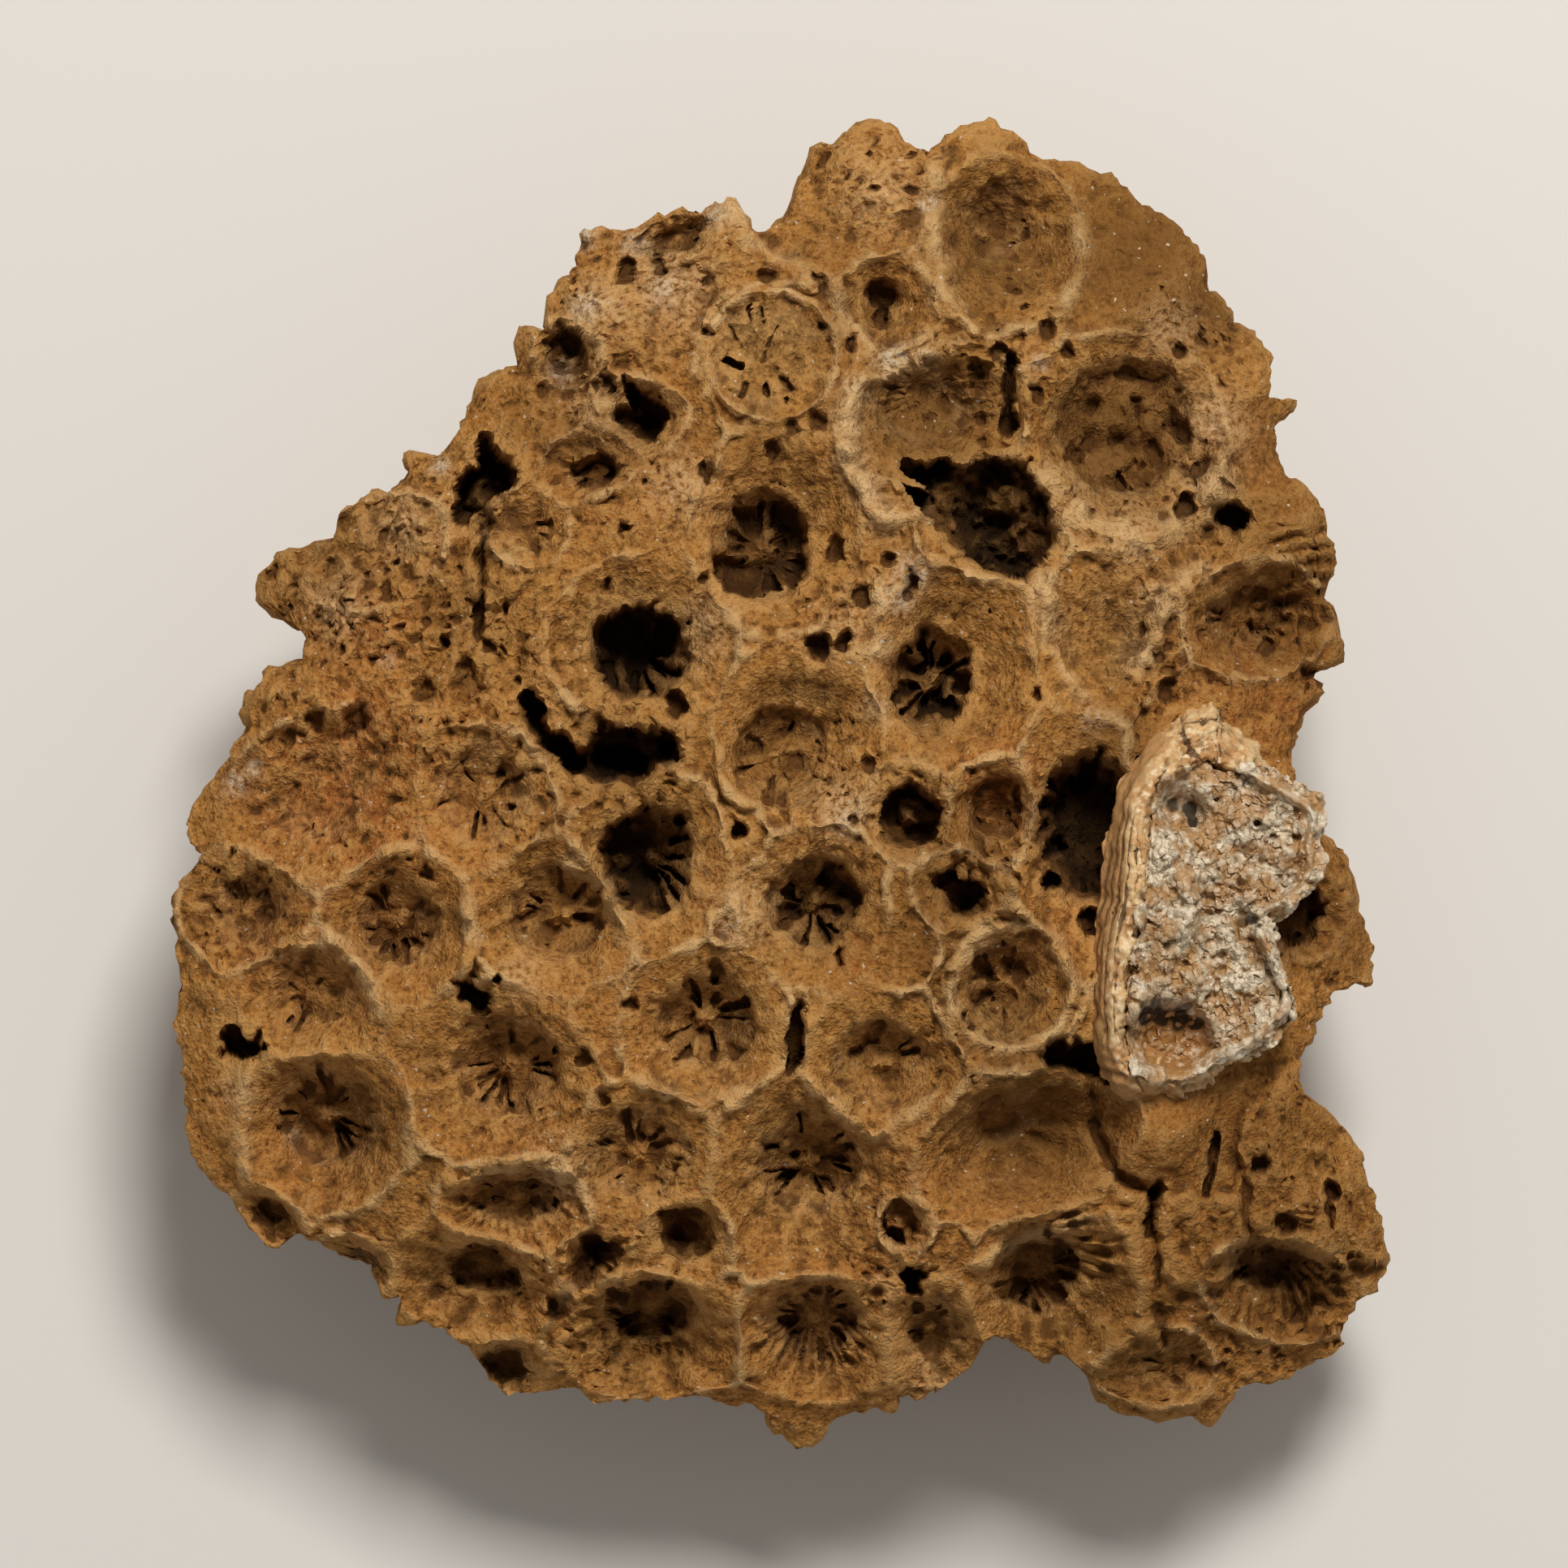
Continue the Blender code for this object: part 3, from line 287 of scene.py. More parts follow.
# Cavities that broke in: the middle, the depth, and the edge as seen from above
Cavity = namedtuple("Cavity", "x y depth edge")
CAVITIES = [
    Cavity(18.5, 23.3, 8, [
        (23.9, 21.9), (23.1, 19.7), (20.6, 17.9), (18.5, 19), (16, 19.4), (14.6, 21.1), (13.1, 22.6),
        (12.4, 24.4), (12.8, 25.8), (9.6, 26.9), (9.4, 28.1), (13.1, 28.4), (15.6, 27.9), (16.7, 29),
        (19.2, 28.6), (21.4, 28.3), (22.1, 26.1), (23.9, 24),
    ]),
    Cavity(15.6, -9.4, 8, [
        (18, -9.4), (17.1, -10.6), (15.3, -11.3), (14.2, -10.4), (13.6, -9), (12.8, -7.4), (13.4, -6.7),
        (14.4, -7), (15.6, -8.3), (17.4, -8.3),
    ]),
    Cavity(-12.3, 32.3, 9, [
        (-10, 32.6), (-11.1, 31.4), (-12.2, 30.4), (-13.3, 31.2), (-14.7, 32.6), (-13.3, 33.6),
        (-14.2, 35.6), (-12.6, 34.9), (-10.8, 34),
    ]),
    Cavity(8.9, 42.5, 5, [
        (9.9, 43.9), (7.6, 43.2), (8, 41.6), (8.7, 40.5), (9.4, 42),
    ]),
    Cavity(38.9, 23.1, 5, [
        (41.2, 22.6), (40, 21.9), (38, 22.4), (36.9, 23.4), (37.4, 24.7), (39.4, 24.6), (41, 24),
    ]),
    Cavity(11, -42.9, 6, [
        (13, -43.3), (11.4, -44), (9.2, -43), (9.6, -42.2), (11.8, -41.9), (12.9, -42.5),
    ]),
    Cavity(-47.5, -22.8, 6, [
        (-45.6, -24), (-47.6, -24.3), (-49.9, -22.2), (-47.4, -21.6), (-46, -22.4),
    ]),
    Cavity(-26.9, -18.2, 6, [
        (-25.3, -18.4), (-26.4, -19.7), (-28, -19.3), (-28.7, -17.6), (-26.8, -17), (-26, -17.6),
    ]),
    Cavity(-26.6, 27.6, 9, [
        (-23.9, 27.3), (-25.6, 25), (-28, 22.8), (-29.2, 22.6), (-28.4, 25.6), (-26.9, 28.1), (-26.9, 30.4),
        (-25.6, 29.6),
    ]),
    Cavity(-16.4, -40.4, 3.5, [
        (-14.2, -40), (-14.8, -42), (-16.6, -42.6), (-18.6, -40.2), (-17, -39), (-15, -39.2),
    ]),
]

# Broken slabs that stand above the rest: their height, and their edge as seen from above
SLABS = [
    (1.8, [
        (32.9, -40), (33.7, -35.8), (37.1, -36.4), (40.1, -36), (40.9, -40), (37.7, -44), (35.3, -44.4),
        (33.3, -42.4),
    ]),
    (1.5, [
        (39.8, -31), (42, -27), (46, -24), (49, -31), (53, -38), (53.9, -42.6), (49, -42), (45, -41.2),
        (41.6, -39.4), (41.2, -35.4),
    ]),
    (1.2, [(-26, 22.6), (-23.4, 22), (-22.8, 17), (-25.8, 15.6)]),
]

# Thin round rings that stand up round a calice: x, y, radius, half width, height
RINGS = [(-1.1, 37.5, 5.75, 0.36, 1.1), (20, -17.4, 5.4, 0.5, 0.8)]

# Fans of ridges that run out from a point: x, y, inner radius, outer radius, middle and half of the spread
# in degrees, ridges in a turn, height
FANS = [
    (19.5, -39, 2.5, 12.5, -35, 62, 44, 0.6), (20, 17, 23.5, 32, 6, 24, 120, 0.45),
    (29.9, 30.8, 6.4, 9.3, 235, 60, 60, 0.28), (42, -38, 3, 12, -50, 70, 50, 0.45),
    (-11.9, -45, 3.5, 8, -90, 75, 44, 0.32), (2.8, -45.5, 3, 8, -90, 80, 40, 0.35),
    (-24, -34.6, 3.5, 8, -90, 80, 40, 0.25), (-37, -1, 3, 8, -70, 60, 44, 0.22),
    (21, 46, 2, 6.5, -150, 60, 34, 0.3), (13, 34, 2.5, 6.5, 160, 60, 30, 0.3),
]

# Swellings of the crown: x, y, radius, height
SWELLS = [
    (32.8, -31, 3.4, 2.8), (-38.3, 23.3, 4.5, 1.8), (-44, 8.3, 4.5, 1.5), (-39.1, 6.3, 1.6, 1.4),
    (8.1, 54.5, 4.5, 3), (17.5, 56, 3.5, 2), (41.5, 36, 3.6, 2.4), (45.2, 23.2, 4, 3),
    (34.5, 44.5, 2.2, 0.9), (48, 12.4, 2.8, 2.2), (48.3, -9.6, 4, 1.5), (-16.5, 41.1, 4.5, 2.4),
    (-6.1, 47.6, 3.6, 1.8), (19.6, -8.3, 2.6, 1.8), (33.9, -53.4, 3.6, 2), (-30, 9, 7, 1.2),
    (31.5, 47, 6, -1),
]

# Where the horn coral sits: its edge as seen from above, anticlockwise from the right, how high its
# seat's floor lies, and the steep wall round the seat
HORN_MIDDLE = (36.4, -10.3)
HORN_EDGE = [
    (42.4, -11.4), (44.6, -9.9), (46.7, -7.8), (47.1, -6.1), (46.5, -4.6), (47.1, -3.3), (46.9, -1.3),
    (45.3, -0.3), (43.6, 0.8), (42, 2.4), (41.6, 4), (39.9, 5), (38.4, 5.7), (38.1, 7.9), (36.6, 7.4),
    (34.9, 6.3), (32.2, 4.6), (30.4, 2), (29.1, -0.5), (28.5, -2.9), (28.2, -6.4), (27.7, -9.8),
    (27.2, -13.1), (27, -16.4), (27, -19.6), (27.2, -22.4), (27.9, -25.3), (29.6, -27.8), (30.8, -27.6),
    (32.2, -27.1), (34.6, -27.1), (36.7, -26.3), (38.3, -24.9), (40.4, -23.9), (42.8, -21.9), (44.6, -20.4),
    (44.6, -18.8), (43.6, -16.4), (42.8, -14.3), (42.3, -12.5),
]
SEAT_FLOOR = 32.0
SEAT_WALL_WIDTH = 1.6
SEAT_WALL_HEIGHT = 25

# Small holes between the cups: x, y, radius, depth
HOLES = [
    (-9.4, 6.9, 0.9, 3), (-4, -3.5, 0.8, 3), (3.1, 12.2, 1.1, 3.4), (5.4, 12.6, 0.8, 2.6),
    (-18.6, 39, 0.9, 2.6), (-6.5, 27.6, 0.8, 2), (-1.1, 29, 0.6, 1.6), (-37.3, 5.9, 1.2, 2.4),
    (-41, 5.9, 0.9, 2), (4.6, 20.7, 0.7, 2), (9.9, -39.1, 0.8, 2.2), (-25, -16.9, 0.5, 2),
    (-19.6, 3.4, 1, 3.4), (-9.9, 4, 1, 3), (-13.6, -19, 0.7, 1.8), (-6, -16.2, 0.7, 1.8),
    (5, -14.9, 0.5, 1.6), (15.9, -20.1, 0.5, 2), (26.9, -11.5, 0.9, 3.4), (24.6, -1.4, 0.5, 1),
    (22, -6.6, 0.6, 1.4), (31.2, 1.9, 0.7, 1.8), (45.9, 9.9, 0.7, 2), (35.4, 24.6, 0.7, 2.4),
    (-29.6, 12.4, 0.7, 1.8), (-24.4, 15.6, 0.5, 1.6), (-23.4, 11, 0.6, 1.8), (-43.6, 4.5, 0.6, 1.2),
    (-13.9, 22.6, 0.6, 1.4), (-15.6, 17.4, 0.7, 1.8), (-8.4, 14.4, 0.6, 1.4), (-7, 18.4, 0.6, 1.8),
    (11.1, 17.6, 0.8, 2.2), (22.1, 8.2, 0.6, 1.6), (33.6, 8.2, 0.9, 2), (-31, -7.4, 0.5, 1.4),
    (0, -2, 0.5, 1.2), (7.7, 2, 0.5, 1.2), (9.4, 19.8, 0.7, 1.8), (6.7, 16.4, 0.6, 1.6),
    (-41.8, 45, 0.5, 1), (16.6, 37, 0.7, 1.6), (24.6, 37.9, 0.6, 1.8), (22.3, 34.6, 0.6, 1.8),
    (34.8, 37.9, 0.6, 1.8), (-13.9, 45.4, 0.8, 2.2), (-10.7, 45.7, 0.6, 1.8), (-15.7, 35.2, 0.8, 2.6),
    (-27.6, 9, 1.6, 1.8), (-31.6, 8.2, 1, 1.8), (-24.3, 11.5, 0.5, 1.6), (-25.8, 11.8, 0.5, 1.4),
    (3.4, 40.3, 0.5, 1.6), (4, 38.7, 0.3, 0.8), (0.3, 34, 0.35, 1.6), (-1.5, 37.8, 0.35, 1.2),
    (-4.7, 34.4, 0.3, 1), (2.3, 37, 0.25, 0.8), (-6.7, 39.6, 0.6, 1.4), (3.2, 43.8, 0.7, 1.6),
    (5.8, 38.5, 0.6, 1.6), (3, 32, 0.7, 1.8), (0.9, 31, 0.5, 1.4), (-1.2, 44.7, 0.5, 1.2),
    (31, 33.3, 0.9, 1.6), (35.1, 31.1, 1, 1.8), (36, 27.8, 0.9, 1.6), (29.6, 26.7, 0.8, 1.4),
    (26.9, 33.3, 0.9, 1.4), (25.2, 28.9, 0.8, 1.4), (32.4, 29.4, 0.8, 1.4), (28.8, 30.6, 0.8, 1.2),
    (18.5, 37.7, 0.6, 1.8), (22.8, 40.2, 0.6, 1.8), (37, 22, 0.8, 1.4), (42.6, 12, 0.6, 1.4),
    (-17.6, -24.4, 0.6, 1.4), (-15.8, -27.2, 0.5, 1.2), (42, -33.6, 0.7, 2.4), (44.6, -39, 0.7, 2.2),
    (48.1, -35.6, 0.6, 2.4), (-20.1, -45.9, 1.2, 2.6), (-17.4, -42.3, 1.6, 2.6), (-15, -44.6, 1, 2.4),
]

# Soft round spots, each with its x, y, radius and strength: ground that is rotten with little pits, worn
# smooth, stained with rust, darker brown (dull stone and painted shade), left pale, or crusted grey-white
ROTTEN = [
    (-16, 3.5, 8, 1), (19, -6, 8, 0.9), (-37, 18, 12, 0.9), (-28, 11, 8, 0.9), (-8, 47, 7, 0.8),
    (-18, 38, 8, 0.9), (44, -42, 11, 0.8), (31, 28, 10, 0.8), (44, 12, 9, 0.6), (-16, 27, 8, 0.7),
    (8, 52, 8, 0.5), (-46, -16, 7, 0.5), (18, 36, 8, 0.8), (5, 17, 6, 0.7), (-17, -44, 6, 0.8),
    (10, -41, 6, 0.6), (3, -2, 7, 0.5), (42, -10, 9, 0.6), (37, -49, 8, 0.7), (-40, 5, 8, 0.5),
    (30, 49, 6, 0.45), (36, 42, 6, 0.5), (24, 22, 5, 0.4),
]
SMOOTH = [
    (-38, -25, 14, 0.8), (-22, -19, 12, 0.7), (-2, -27, 12, 0.6), (14, 8, 6, 0.5), (23, -30.5, 6.5, 0.9),
    (31.5, 46, 7, 0.4), (36, 40, 4, 0.2), (-27.8, -12, 3, 0.5), (-1, 37, 4.5, 0.5), (-45, -33, 4, 0.5),
    (-6, -50, 4, 0.4), (34, -44, 4, 0.5),
]
RUST = [
    (-38.3, -1, 9, 0.9), (-36.9, 5.2, 4, 1), (18.6, -0.4, 4, 1), (15.8, -8, 4, 0.5), (6.4, -14.6, 2.2, 1),
    (-36, 14, 5, 0.6), (-45, -14, 6, 0.5), (43.6, 9, 8, 0.7), (-15.9, 27, 5, 0.5), (27, -10, 8, 0.4),
    (10, -39, 3, 0.6), (-30, -4, 6, 0.5), (40, 30, 4, 0.5), (-24, -30, 8, 0.3), (44, -12, 6, 0.6),
    (12, -34, 8, 0.3), (-44, -32, 10, 0.35), (-22, -42, 10, 0.35), (0, -46, 12, 0.3), (22, -40, 9, 0.35),
    (40, -44, 12, 0.35), (34, -30, 8, 0.4), (-14, -22, 8, 0.25), (-36, -16, 8, 0.3),
]
# Darker brown spots: partly dull stone, partly painted shade, as beside the horn coral's cap and in deep
# bowls
DULL_AND_PAINTED_SHADE = [
    (31, 47, 9, 1), (44, 15, 9, 0.8), (22, -29, 8, 1), (40, -31, 10, 0.6), (13, 32, 7, 0.9),
    (29.8, 30.8, 6.5, 1), (42, 30, 5, 0.6), (19, 47, 6, 0.8), (-40, 20, 8, 0.4), (-16.5, 30, 5, 0.8),
    (42, -42, 9, 0.8), (30, -50, 8, 0.7), (14, -8, 6, 0.8), (4, 47, 4, 0.4), (42, 24, 6, 0.6),
    (46, -10, 6, 0.8), (-28, 15, 5, 0.5), (-14, 2, 6, 0.5), (36.5, 42.5, 5.5, 1), (33, 48.5, 6, 1),
    (30, 4, 3.2, 1), (27.4, 3.6, 3, 0.7), (5.5, -13.2, 3.6, 0.6), (12.2, -13.2, 4, 0.8),
    (48.6, -12.4, 4.5, 0.7), (-2, 29.4, 3.6, 0.6), (4.4, 39.4, 2.6, 0.6), (-20.4, 31.4, 4, 0.6),
    (13, 5.4, 2.6, 0.4), (31, 27, 5, 0.6),
]
PALE = [
    (12.4, 37.6, 1.3, 0.9), (9.2, 36.6, 1.3, 1), (6.4, 34.6, 1.3, 1), (5.4, 31.6, 1.3, 1),
    (5.8, 28.6, 1.4, 1), (7.3, 25.6, 1.4, 0.9), (9, 23.4, 1.4, 0.8), (12, 24, 1, 0.7), (37.6, 32, 2.6, 0.7),
    (37, 26.5, 2.4, 0.6), (30, 21.8, 2.6, 0.6), (25, 23.6, 2.4, 0.5), (33, 16.4, 1.6, 0.9),
    (31.4, 11.5, 1.4, 0.8), (23.2, 14.5, 1.4, 0.7), (22.9, 17.6, 1.2, 0.8), (-9.5, 43.5, 3.6, 0.6),
    (-15.6, 42, 2.6, 0.5), (-4.8, 50.4, 1.6, 0.6), (8.4, 16.5, 1.4, 0.8), (8.3, 12, 1.2, 0.8),
    (8, 7, 1.2, 0.6), (5, -1.5, 2.6, 0.5), (-3, -10.5, 3, 0.4), (-39, 15.5, 2.6, 0.5),
    (-33.5, 23, 2.6, 0.5), (5.4, 13.5, 2.4, 0.4), (-8.8, 26, 2.8, 0.5), (-16, 33.5, 2.6, 0.4),
    (-23, -17, 2, 0.4), (-20, -33.8, 2.4, 0.6), (12.6, -52, 2, 0.4), (8.4, 52, 3.4, 0.4),
    (34, 40, 2.6, 0.4), (-6.8, 14, 2.6, 0.5), (-48, -27, 1.6, 0.5),
]
GREY_CRUST = [
    (-17.6, 48.4, 1, 1), (-17.4, 42, 1.2, 0.9), (-19.6, 36.4, 1, 0.9), (11.3, 18.6, 1.4, 0.9),
    (9.6, 37.6, 1, 1), (-6.1, 50, 0.9, 0.8), (-30.1, 28, 0.7, 0.9), (10.3, 16.4, 1.2, 0.7),
    (12.6, 51, 0.7, 1), (-10.6, 43.6, 1.2, 0.6), (26.9, 6, 1, 0.5), (-48.2, 0.4, 0.9, 1),
    (-46.6, 1.6, 0.6, 0.9), (-4.7, -12.4, 1.2, 0.5), (-43.4, -31, 0.7, 0.5), (5.3, -3, 1.4, 0.5),
    (45.8, 32.9, 0.7, 1), (22.4, 37, 0.7, 0.8), (-22, 44, 0.9, 0.7), (-13, 47.6, 1.2, 0.7),
    (-34.6, 11, 0.7, 0.4),
]


def smoothstep(low, high, value):
    """0 below low, 1 above high, and an S curve between."""
    share = np.clip((value - low) / (high - low), 0, 1)
    return share * share * (3 - 2 * share)


NOISE_CELLS = 32
NOISE_SEED = 11
lattice = np.random.default_rng(NOISE_SEED).uniform(-1, 1, (NOISE_CELLS, NOISE_CELLS, NOISE_CELLS))


def mineral_noise(points, size, start=0.0):
    """Smooth noise from -1 to 1 at each point, with lumps of about the given size."""
    place = points / size + start
    cell = np.floor(place).astype(int)
    part = place - cell
    part = part * part * (3 - 2 * part)
    total = np.zeros(len(points))
    for corner in itertools.product((0, 1), repeat=3):
        weight = np.ones(len(points))
        for axis in range(3):
            weight *= part[:, axis] if corner[axis] else 1 - part[:, axis]
        x, y, z = ((cell[:, axis] + corner[axis]) % NOISE_CELLS for axis in range(3))
        total += weight * lattice[x, y, z]
    return total


def flat_noise(x, y, size, start=0.0):
    """The same noise on the crown's plan."""
    return mineral_noise(np.stack([x, y, np.zeros_like(x)], axis=1), size, start)


CELL_TABLE = 64
CELL_SCATTER = 0.42


def cells(x, y, size, seed):
    """The nearest of many scattered middles: how far it is, which way, and its own three random numbers."""
    table = np.random.default_rng(seed).uniform(-1, 1, (CELL_TABLE, CELL_TABLE, 5))
    cell_x, cell_y = np.floor(x / size).astype(int), np.floor(y / size).astype(int)
    nearest = np.full(len(x), 9.0)
    found = np.zeros((len(x), 5))
    for step_x, step_y in itertools.product((-1, 0, 1), repeat=2):
        here = table[(cell_x + step_x) % CELL_TABLE, (cell_y + step_y) % CELL_TABLE]
        off_x = x / size - (cell_x + step_x + 0.5 + CELL_SCATTER * here[:, 0])
        off_y = y / size - (cell_y + step_y + 0.5 + CELL_SCATTER * here[:, 1])
        distance = np.hypot(off_x, off_y)
        closer = distance < nearest
        found[closer] = np.column_stack([off_x, off_y, here[:, 2:]])[closer]
        nearest = np.minimum(nearest, distance)
    return nearest, found[:, 0], found[:, 1], found[:, 2:]


def pocks(x, y, size, seed):
    """How far each place is down one of many small round pits, from 0 to 1."""
    distance, _, _, chance = cells(x, y, size, seed)
    radius = np.maximum(0.14 + 0.24 * chance[:, 0], 0.02)
    return 1 - smoothstep(0.45, 1.15, distance / radius)


def edge_radius(edge, middle, angle):
    """How far a closed edge lies from its middle in each direction, with straight runs between points."""
    x, y = (np.array(edge) - middle).T
    turn = np.arctan2(y, x)
    order = np.argsort(turn)
    return np.interp(angle, turn[order], np.hypot(x, y)[order], period=2 * np.pi)


def smooth_edge_radius(edge, middle, angle, spread=0.35):
    """The same edge with its notches and teeth averaged out over an angle on each side."""
    fine = np.linspace(-np.pi, np.pi, 1441)
    offsets = np.linspace(-spread, spread, 15)
    mean = np.mean([edge_radius(edge, middle, fine + offset) for offset in offsets], axis=0)
    return np.interp(angle, fine, mean)


def inside_edge(x, y, edge, middle):
    """How far each place lies inside a closed edge, measured along the line from its middle."""
    dx, dy = x - middle[0], y - middle[1]
    return edge_radius(edge, middle, np.arctan2(dy, dx)) - np.hypot(dx, dy)


EDGE_ROWS = 401
EDGE_COLUMNS = 1440
LENGTH_SHARE = 0.6


def fill_edge(edge):
    """A grid of places that fill a closed edge: rows from its middle out, columns round it, evenly spread.

    Each row is the edge with its teeth and notches worn away, as they are in a soap film inside a wire.
    """
    corners = np.array(edge + edge[:1])
    runs = np.hypot(*np.diff(corners, axis=0).T)
    by_length = np.concatenate([[0], np.cumsum(runs)]) / np.sum(runs)
    turned = np.unwrap(np.arctan2(corners[:, 1], corners[:, 0])) / (2 * np.pi)
    by_turn = turned - turned[0]
    mixed = LENGTH_SHARE * by_length + (1 - LENGTH_SHARE) * by_turn
    share = np.maximum.accumulate(mixed + 1e-6 * np.arange(len(corners)))
    columns = (np.arange(EDGE_COLUMNS) / EDGE_COLUMNS - turned[0]) % 1.0
    rows = np.linspace(0, 1, EDGE_ROWS)[:, None] ** np.arange(EDGE_COLUMNS // 2 + 1)
    return [
        np.fft.irfft(np.fft.rfft(np.interp(columns, share, corners[:, axis])) * rows, axis=1)
        for axis in (0, 1)
    ]


def read_grid(grid, out, angle):
    """The grid's value at a way out from 0 to 1 and an angle, with straight runs between its points."""
    row = np.clip(out, 0, 1) * (EDGE_ROWS - 1)
    column = (angle / (2 * np.pi) % 1.0) * EDGE_COLUMNS
    low_row = np.minimum(np.floor(row).astype(int), EDGE_ROWS - 2)
    low_column = np.floor(column).astype(int) % EDGE_COLUMNS
    up, along = row - low_row, column - np.floor(column)
    next_column = (low_column + 1) % EDGE_COLUMNS
    near = grid[low_row, low_column] * (1 - along) + grid[low_row, next_column] * along
    far = grid[low_row + 1, low_column] * (1 - along) + grid[low_row + 1, next_column] * along
    return near * (1 - up) + far * up


def line_distance(x, y, points):
    """How far each place is from a line that runs through the points."""
    nearest = np.full(np.shape(x), np.inf)
    for (x0, y0), (x1, y1) in zip(points, points[1:]):
        run_x, run_y = x1 - x0, y1 - y0
        along = np.clip(((x - x0) * run_x + (y - y0) * run_y) / (run_x**2 + run_y**2), 0, 1)
        nearest = np.minimum(nearest, np.hypot(x - x0 - along * run_x, y - y0 - along * run_y))
    return nearest


def bump_along(distance, half_width):
    """A rounded hump, 1 in the middle of a line or spot and fading out past its half width."""
    return np.exp(-((distance / half_width) ** 2))


def spots(x, y, places):
    """How strongly each place is covered by a set of soft round spots."""
    cover = np.zeros(len(x))
    for spot_x, spot_y, radius, strength in places:
        cover = np.maximum(cover, strength * bump_along(np.hypot(x - spot_x, y - spot_y), radius))
    return cover


def dome(x, y):
    """The crown with no cups: a low dome that falls away most towards the near edge."""
    angle = np.arctan2(y, x)
    out = np.hypot(x, y) / smooth_edge_radius(CROWN_EDGE, (0, 0), angle)
    drop = MEAN_RIM_DROP + RIM_DROP_TO_RIGHT * np.cos(angle) - RIM_DROP_TO_NEAR * np.sin(angle)
    return CROWN_HEIGHT - drop * out**CROWN_CURVE


def in_cup(x, y, cup, middle_x, middle_y, squash):
    """How far each place is from a middle, and in which direction, in a cup's turned and squashed plan."""
    turn = np.radians(cup.turn)
    dx, dy = x - middle_x, y - middle_y
    along = dx * np.cos(turn) + dy * np.sin(turn)
    across = (dy * np.cos(turn) - dx * np.sin(turn)) / squash
    return np.hypot(along, across), np.arctan2(across, along)


def septa(cup, number, way_out, angle, distance):
    """How far down a pit's septa lie, as a share of its depth, and where the gaps between them are."""
    random = np.random.default_rng(SEPTA_SEED + number)
    count = int(np.clip(round(2 * np.pi * cup.floor_radius / SEPTUM_SPACING), *SEPTA_IN_A_CUP))
    clean = cup.fill < CLEAN_FILL
    thinnest, widest = GAP_HALF_WIDTHS
    gap = np.zeros(len(way_out))
    top = np.zeros(len(way_out))
    for septum in range(count):
        direction = 2 * np.pi * (septum + random.uniform(-0.3, 0.3)) / count
        present = random.random() < (0.95 if clean else 0.75) and cup.fill < 0.9
        bend = random.uniform(-0.3, 0.3)
        half_width = thinnest + (widest - thinnest) * random.random() ** 2
        half_width *= 1.5 if clean else 1.0
        start = np.clip(cup.inner + random.uniform(-0.05, 0.25), 0.25, 0.75)
        end = random.uniform(0.72, 1.10)
        turn = (angle - direction - bend * (1 - way_out) + np.pi) % (2 * np.pi) - np.pi
        aside = np.where(np.abs(turn) < 1.2, np.abs(turn) * distance, 9.0)
        slit = 1 - smoothstep(0.5, 1.35, aside / (half_width * (0.45 + 0.85 * way_out)))
        slit *= smoothstep(start - 0.12, start + 0.12, way_out)
        slit *= 1 - smoothstep(end - 0.12, end + 0.04, way_out)
        gap = np.maximum(gap, slit * present)
        top = np.where((turn >= 0) & (turn < 8 / count), random.uniform(-1, 1), top)
    slope = np.clip((1 - way_out) / (1 - cup.inner), 0, 1)
    return np.clip(0.16 + 0.84 * slope + 0.16 * top * (1 - slope), 0, 1), gap


def calice(cup, number, x, y, rough, fine):
    """One calice: each place's way out in its bowl, depth, painted shade in its pit and septal gaps, blade
    tops and fluted wall.
    """
    out = in_cup(x, y, cup, cup.x, cup.y, cup.squash)[0] / cup.radius
    slope = 0.6 * smoothstep(0.25, 1.02, out) + 0.4 * np.minimum(out, 1) ** 1.7
    bowl = BOWL_STEEPNESS * cup.depth * (1 - slope)

    squash = np.clip(cup.squash, 0.6, 1.4) if cup.floor_radius > 3.5 else cup.squash
    distance, angle = in_cup(x, y, cup, cup.x + cup.floor_x, cup.y + cup.floor_y, squash)
    way_out = distance / cup.floor_radius * (1 + 0.13 * rough + 0.06 * fine)
    pit = 1 - smoothstep(0.86, 1.08, way_out)
    septum_down, gap = septa(cup, number, way_out, angle, distance)
    deep = cup.floor_depth > DEEP_PIT
    if deep:
        lost = smoothstep(0, 0.5, flat_noise(x, y, 4.5, 5 * number))
        septum_down += (1 - septum_down) * 0.8 * lost
        gap = np.maximum(gap * (1 - 0.5 * lost), 0.5 * lost * (way_out < 1))
    silt = np.clip(cup.fill + 0.9 * cup.fill**0.5 * flat_noise(x, y, 1.9, number), 0, 0.92)
    knob = cup.knob * bump_along(way_out, 0.24) * (0.85 + 0.15 * np.cos(5 * angle + number))
    gap *= smoothstep(-0.30, 0.25, flat_noise(x, y, 1.3, 3 * number) + 0.45 * deep)
    gap *= (1 - silt) * pit
    below = cup.floor_depth * septum_down * (1 - 0.45 * silt) * (1 - np.clip(knob, 0, 0.95))
    below += 0.45 * rough + (0.4 * cup.floor_depth + 0.6) * gap
    dark = np.clip(below * pit / 9 + 0.3 * gap, 0, 1)
    blade_tops = (1 - gap) * pit * (1 - septum_down)

    flutes = np.clip(round(2 * np.pi * cup.floor_radius / SEPTUM_SPACING), *FLUTES_IN_A_CUP)
    fluted = np.cos(flutes * angle + 1.3 * rough)
    fluted *= smoothstep(0.85, 1.1, way_out) * (1 - smoothstep(0.75, 1.0, out))
    return out, bowl + below * pit, dark, blade_tops, fluted


